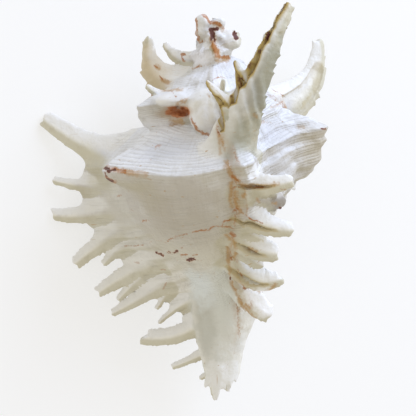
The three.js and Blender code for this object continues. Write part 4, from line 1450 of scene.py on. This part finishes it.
# %% Tan strokes, soft and wider, round many of the brown ones
TAN_LINES = [
    (0.5, (-20.5, -27, -42), (-17, -27, -40.5), (-15, -27, -40)),
    (1.3, (-53, -31, -71.3), (-47.6, -35.5, -71.8), (-42.8, -37.6, -73.1), (-38, -39, -73.8)),
    (0.7, (-0.5, -44, -57.5), (0, -44, -60.5), (0.5, -44, -64)),
    (0.5, (-1.5, -42, -56.5), (-1.5, -43, -66)),
    (1.0, (1, -46, -69.5), (2, -49, -71.5), (1.5, -48, -73), (3.5, -47, -76.5), (6, -48, -79)),
    (0.6, (0.5, -48, -71), (-0.5, -49, -72.5)), (0.7, (3, -47, -80), (1.5, -45, -89), (2, -44, -91.5)),
    (0.9, (4.5, -46, -84.5), (4.5, -45, -90.5), (6.5, -45, -94.5)),
    (0.5, (-1.5, -36, -107), (2, -35, -110.5)),
    (0.6, (1, -34, -112), (-1, -30, -113.5), (-1, -24, -121), (-1, -23, -125.5), (-1, -17, -132)),
    (0.6, (2, -36, -109.5), (3, -33, -114), (3, -29, -117), (1.5, -27, -121)),
    (0.7, (-1, -17, -134), (0, -17, -137), (3, -19, -144.5), (6, -22, -149), (10.5, -22, -153.5)),
    (0.7, (4, -18, -134.5), (8, -18, -136), (11.5, -19, -138.5)), (0.6, (6, -20, -146.5), (8, -21, -148)),
    (0.7, (10, -19, -138), (13, -20, -140), (19.5, -29, -136.5), (21, -29, -135)),
    (0.5, (9.5, -37, -113.5), (12.5, -38, -115.5)),
    (0.8, (7, -45, -81), (13.5, -48, -82), (24.5, -51, -81.5)), (0.9, (7.5, -50, -85.5), (8.5, -51, -85.5)),
    (0.6, (14.5, -45, -89), (15, -44, -90)), (0.6, (22, -41, -92), (23, -41, -92)),
    (0.5, (16, -45, -49), (17, -45, -50)), (0.6, (20.5, -24, -54), (22.5, -24, -54)),
    (1.2, (1, -12, -23), (6.5, -5, -24)), (1.0, (1, -4, -5), (3.5, -5, -6.5), (5, -5, -9)),
    (1.6, (-0.1, -7, -13.2), (0, -13, -16), (1.3, -13, -18.5), (1.1, -13, -21.4)),
    (0.9, (-27, 3, -32.1), (-24.4, 2.5, -33.8)), (0.8, (-29.5, 3.5, -24.8), (-28.3, 3.5, -26)),
    (0.6, (-27.5, -5, -36.5), (-20, -15, -36.5), (-17.5, -17, -36.5)),
    (0.5, (-20.5, -27, -42), (-16.5, -28, -41)),
    (1.5, (-24, -17, -51.8), (-21.5, -18, -52), (-19, -20.5, -52)), (0.6, (26.5, -9, -49), (30.5, 0, -49)),
    (0.9, (39, -13, -59.5), (41, -13, -59.5)), (0.5, (-5.5, -25, -38), (-4.5, -27, -40)),
]
print("tan strokes:", len(TAN_LINES))

# %% [markdown]
# ## Drawing the strokes
#
# A stroke drawn with a ruler would look false. So each point of the skin first wanders a little, by two
# noises, and only then its distance to the nearest stroke is taken. The distance is in millimetres and
# is negative inside the stroke, so one ramp over it gives a soft or a crisp edge.

# %% A place that wanders
WOBBLE = 0.0026
TREMBLE = 0.001
wobble = add("VectorMath", middling.node.outputs["Color"], (0.5, 0.5, 0.5), operation="SUBTRACT")
wobble = add("VectorMath", wobble, WOBBLE, operation="SCALE")
tremble = add("VectorMath", fine.node.outputs["Color"], (0.5, 0.5, 0.5), operation="SUBTRACT")
tremble = add("VectorMath", tremble, TREMBLE, operation="SCALE")
stray = add("VectorMath", wobble, tremble, operation="ADD")
wandering_place = add("VectorMath", shallow_place, stray, operation="ADD")
print("the strokes wander by up to, mm:", round(1000 * (WOBBLE + TREMBLE) / 2, 1))

# %% Distance to the nearest stroke, as nodes
def line_distance(lines):
    """How far a point is from the nearest line's edge, in millimetres."""
    nearest = 50.0
    parts = [(width, *pair) for width, *spots in lines for pair in zip(spots, spots[1:])]
    for width, start, end in parts:
        start, end = (spot - PRESSED * (spot @ DOWN) * DOWN for spot in (to_row(start), to_row(end)))
        way = end - start
        off = add("VectorMath", wandering_place, tuple(start), operation="SUBTRACT")
        share = add("VectorMath", off, tuple(way / (way @ way)), operation="DOT_PRODUCT")
        share = add("Clamp", share)
        spot = add("VectorMath", tuple(way), share, operation="SCALE")
        gap = add("VectorMath", off, spot, operation="DISTANCE")
        gap = add("Math", gap, 1000.0, -width, operation="MULTIPLY_ADD")
        nearest = add("Math", gap, nearest, operation="MINIMUM")
    return nearest


print("line pieces:", sum(len(spots) - 1 for _, *spots in DARK_LINES + BROWN_LINES + TAN_LINES))

# %% Tan, brown and dark scars
ragged = add("MapRange", fine, 0.3, 0.7, -0.3, 0.3)
worn = add("MapRange", middling, 0.3, 0.55, 0.35, 0.9, **SMOOTH)
scars = add("Math", line_distance(TAN_LINES), add("Math", ragged, 1.6, operation="MULTIPLY"), operation="ADD")
scars = add("Math", add("MapRange", scars, 0.9, -0.5, 0.0, 0.8, **SMOOTH), worn, operation="MULTIPLY")
base = add("Mix", scars, base, ORANGE, **RGBA)
scars = add("Math", line_distance(BROWN_LINES), ragged, operation="ADD")
scars = add("Math", add("MapRange", scars, 0.25, -0.3, 0.0, 0.95, **SMOOTH), worn, operation="MULTIPLY")
base = add("Mix", scars, base, BROWN, **RGBA)
scars = add("Math", line_distance(DARK_LINES), ragged, operation="ADD")
base = add("Mix", add("MapRange", scars, 0.5, 0.0, 0.0, 0.8, **SMOOTH), base, BROWN, **RGBA)
base = add("Mix", add("MapRange", scars, 0.3, -0.15, 0.0, 0.97, **SMOOTH), base, DARK_BROWN, **RGBA)
print("nodes with the scars:", len(tree.nodes))

# %% The stained recess
RECESS_COLOUR = linear("#b9733f")
recess_middle, (half_wide, half_deep, half_high) = RECESS
recess = add("VectorMath", place_on_shell, tuple(to_row(recess_middle)), operation="SUBTRACT")
recess_size = np.array([half_wide, half_high, half_deep])
recess = add("VectorMath", recess, tuple(1000 / recess_size), operation="MULTIPLY")
recess = add("VectorMath", recess, operation="LENGTH")
recess = add("Math", recess, add("MapRange", middling, 0.3, 0.7, -0.15, 0.1), operation="ADD")
base = add("Mix", add("MapRange", recess, 1.6, 1.15, 0.0, 0.4, **SMOOTH), base, ORANGE, **RGBA)
base = add("Mix", add("MapRange", recess, 1.2, 1.05, 0.0, 0.9, **SMOOTH), base, RECESS_COLOUR, **RGBA)
print("the recess is", 2 * half_wide, "mm wide and", 2 * half_high, "mm high")

# %% [markdown]
# ## Cords
#
# Fine cords run round the whorls, about a millimetre apart. At half a millimetre to a pixel they would
# blur away, so they are drawn 2.2 mm apart. A sine over the way down the profile makes them, pushed up
# and down by streaks so that they run unevenly. The grooves between them are a little darker, most on
# the ramps, where the cords are plainest.

# %% The grooves between the cords, a little darker
CORD_PITCH = 2.2
GROOVE_COLOUR = linear("#a5a09a")
shifted = add("MapRange", streaks, 0.2, 0.8, -4.0, 4.0)
cord = add("Math", ATTRIBUTES["arc"], 2 * math.pi / CORD_PITCH, shifted, operation="MULTIPLY_ADD")
strength = add("MapRange", broad, 0.35, 0.65, 0.4, 1.5)
cord = add("Math", add("Math", cord, operation="SINE"), strength, operation="MULTIPLY")
cord = add("Math", cord, on_whorl, operation="MULTIPLY")
grooves = add("MapRange", cord, -0.3, -1.1, 0.0, 0.26, **SMOOTH)
grooves = add("Math", grooves, add("MapRange", on_ramp, 0.0, 1.0, 0.15, 1.0), operation="MULTIPLY")
base = add("Mix", grooves, base, GROOVE_COLOUR, **RGBA)
print("cords on the wall:", round(float(WALL_ARC[-1]) / CORD_PITCH))

# %% [markdown]
# ## The glazed mouth
#
# Inside the mouth and over the inner lip, the animal laid a last coat of smooth, porcelain-like enamel.
# It is white with a flesh tint at the edge and deeper in. It covers everything, so it comes last, and it
# is much smoother than the outside, which gives the mouth its sharp shine.

# %% The glazed mouth
GLAZE_COLOUR = linear("#f6f0e8")
LIP_COLOUR = linear("#efcdb2")
DEEP_COLOUR = linear("#ecd6c0")
inside = add("MapRange", ATTRIBUTES["mouth"], 0.9, 0.5, 0.0, 1.0, **SMOOTH)
spread = add("Math", ATTRIBUTES["mouth"], add("MapRange", middling, 0.3, 0.7, -1.0, 1.5), operation="ADD")
rim = add("MapRange", spread, 4.5, 1.8, 0.0, 1.0, **SMOOTH)
on_face = add("MapRange", ATTRIBUTES["inward"], 1.5, 0.5, 0.0, 1.0, **SMOOTH)
glazed = add("Math", inside, add("Math", rim, on_face, operation="MULTIPLY"), operation="MAXIMUM")
band = add("Math", ATTRIBUTES["inward"], add("MapRange", middling, 0.3, 0.7, -1.5, 1.5), operation="ADD")
lining = add("Mix", add("MapRange", band, 1.0, 9.0, 0.0, 1.0, **SMOOTH), LIP_COLOUR, GLAZE_COLOUR, **RGBA)
lining = add("Mix", add("MapRange", band, 14.0, 50.0, 0.0, 0.8, **SMOOTH), lining, DEEP_COLOUR, **RGBA)
base = add("Mix", glazed, base, lining, **RGBA)
print("nodes with the glaze:", len(tree.nodes))

# %% [markdown]
# ## Fine relief and the finished material
#
# Cords, growth lines and grain are too fine for the mesh, so they only tilt the light, by a Bump node.
# Calcite's refractive index is about 1.5. Chalky skin has a roughness of 0.38 to 0.6 and the glaze 0.16.

# %% Relief of cords and growth lines
GLAZE_ROUGHNESS = 0.16
BUMP_STRENGTH = 0.75
BUMP_HEIGHT = 0.00026
lines = add("Math", add("MapRange", growth, 0.2, 0.8, -1.0, 1.0), on_whorl, operation="MULTIPLY")
grain = add("MapRange", fine, 0.2, 0.8, -1.0, 1.0)
heights = add("Math", cord, 0.55, lines, operation="MULTIPLY_ADD")
heights = add("Math", grain, 0.6, heights, operation="MULTIPLY_ADD")
shaped = add("Bump", BUMP_STRENGTH, BUMP_HEIGHT, 1.0, heights)
roughness = add("MapRange", middling, 0.3, 0.7, 0.38, 0.6)
roughness = add("Mix", glazed, roughness, GLAZE_ROUGHNESS)
print("nodes with the relief:", len(tree.nodes))

# %% The material on the shell
shader = tree.nodes.new("ShaderNodeBsdfPrincipled")
tree.links.new(base, shader.inputs["Base Color"])
tree.links.new(roughness, shader.inputs["Roughness"])
tree.links.new(shaped, shader.inputs["Normal"])
shader.inputs["IOR"].default_value = 1.5
output = tree.nodes.new("ShaderNodeOutputMaterial")
tree.links.new(shader.outputs["BSDF"], output.inputs["Surface"])
shell.data.materials.clear()
shell.data.materials.append(calcite)
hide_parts("shell")
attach(shell, "root")
print("material nodes:", len(tree.nodes))

# %% [markdown]
# ## Camera
#
# The photograph looks down on the back of the shell from the canal's side, about 10 degrees off square,
# with the shell turned 4.5 degrees in the picture. The scale is half a millimetre to a pixel. The camera
# is aimed so that the apex falls on its pixel in the photograph.

# %% The photograph's camera
ROLL = math.radians(4.5)
FAR = 600.0
MM_PER_PX = 0.5
PICTURE_PX = 416
APEX_PX = (211, 12)
SENSOR_MM = 36
level = np.array([1.0, 0, 0])
upright = np.array([0, math.sin(RISE), math.cos(RISE)])
look = np.array([0, math.cos(RISE), -math.sin(RISE)])
right = math.cos(ROLL) * level - math.sin(ROLL) * upright
up = math.sin(ROLL) * level + math.cos(ROLL) * upright
aside, down = (px - PICTURE_PX / 2 for px in APEX_PX)
aim = -aside * MM_PER_PX * right + down * MM_PER_PX * up
eye = aim - FAR * look
print("the apex is", aside, "px right of and", -down, "px above the picture's middle")

# %% The lens and the camera's place
lens = bpy.data.cameras.new("camera")
lens.sensor_width = SENSOR_MM
lens.lens = SENSOR_MM * FAR / MM_PER_PX / PICTURE_PX
camera = bpy.data.objects.new("camera", lens)
axes = REST_TURN @ np.stack([right, up, -look], 1)
place = Matrix(axes.tolist()).to_4x4()
place.translation = Vector(to_row(eye))
camera.matrix_world = place
bpy.context.scene.collection.objects.link(camera)
bpy.context.scene.camera = camera
print("camera at", to_row(eye).round(3), "lens, mm:", round(lens.lens, 1))

# %% [markdown]
# ## Floor and light
#
# The shell lies on white paper in a bright room. The paper glows a little, which keeps it as even as a
# lit table, and a large window to the upper right gives the soft, cool side and its warm shade.

# %% A pale floor
floor_mesh = bpy.data.meshes.new("floor")
floor_mesh.from_pydata([(-3, -3, 0), (3, -3, 0), (3, 3, 0), (-3, 3, 0)], [], [(0, 1, 2, 3)])
floor = bpy.data.objects.new("floor", floor_mesh)
bpy.context.scene.collection.objects.link(floor)
paper = bpy.data.materials.new("floor_paper")
paper.use_nodes = True
paper_finish = {
    "Base Color": linear("#aeafb0"), "Roughness": 0.95, "Specular IOR Level": 0.1,
    "Emission Color": linear("#ffffff"), "Emission Strength": 0.54,
}
for socket, value in paper_finish.items():
    paper.node_tree.nodes["Principled BSDF"].inputs[socket].default_value = value
floor.data.materials.append(paper)
print("floor:", len(paper_finish), "settings of its paper")

# %% A window and the room's light
WINDOW_PLACE = Vector((0.95, 0.95, 0.7))
SHELL_MIDDLE = Vector((0, 0, 0.03))
window = bpy.data.lights.new("window", "AREA")
window.shape = "DISK"
window.size = 1.3
window.energy = 19.5
window.color = linear("#cbdcff")[:3]
lamp = bpy.data.objects.new("window", window)
lamp.location = WINDOW_PLACE
lamp.rotation_euler = (SHELL_MIDDLE - WINDOW_PLACE).to_track_quat("-Z", "Y").to_euler()
bpy.context.scene.collection.objects.link(lamp)
room = bpy.data.worlds.new("room")
room.use_nodes = True
room.node_tree.nodes["Background"].inputs["Color"].default_value = linear("#fffaf1")
room.node_tree.nodes["Background"].inputs["Strength"].default_value = 0.76
bpy.context.scene.world = room
bpy.context.scene.view_settings.view_transform = "Standard"
print("the window is", round((WINDOW_PLACE - SHELL_MIDDLE).length, 2), "m away")
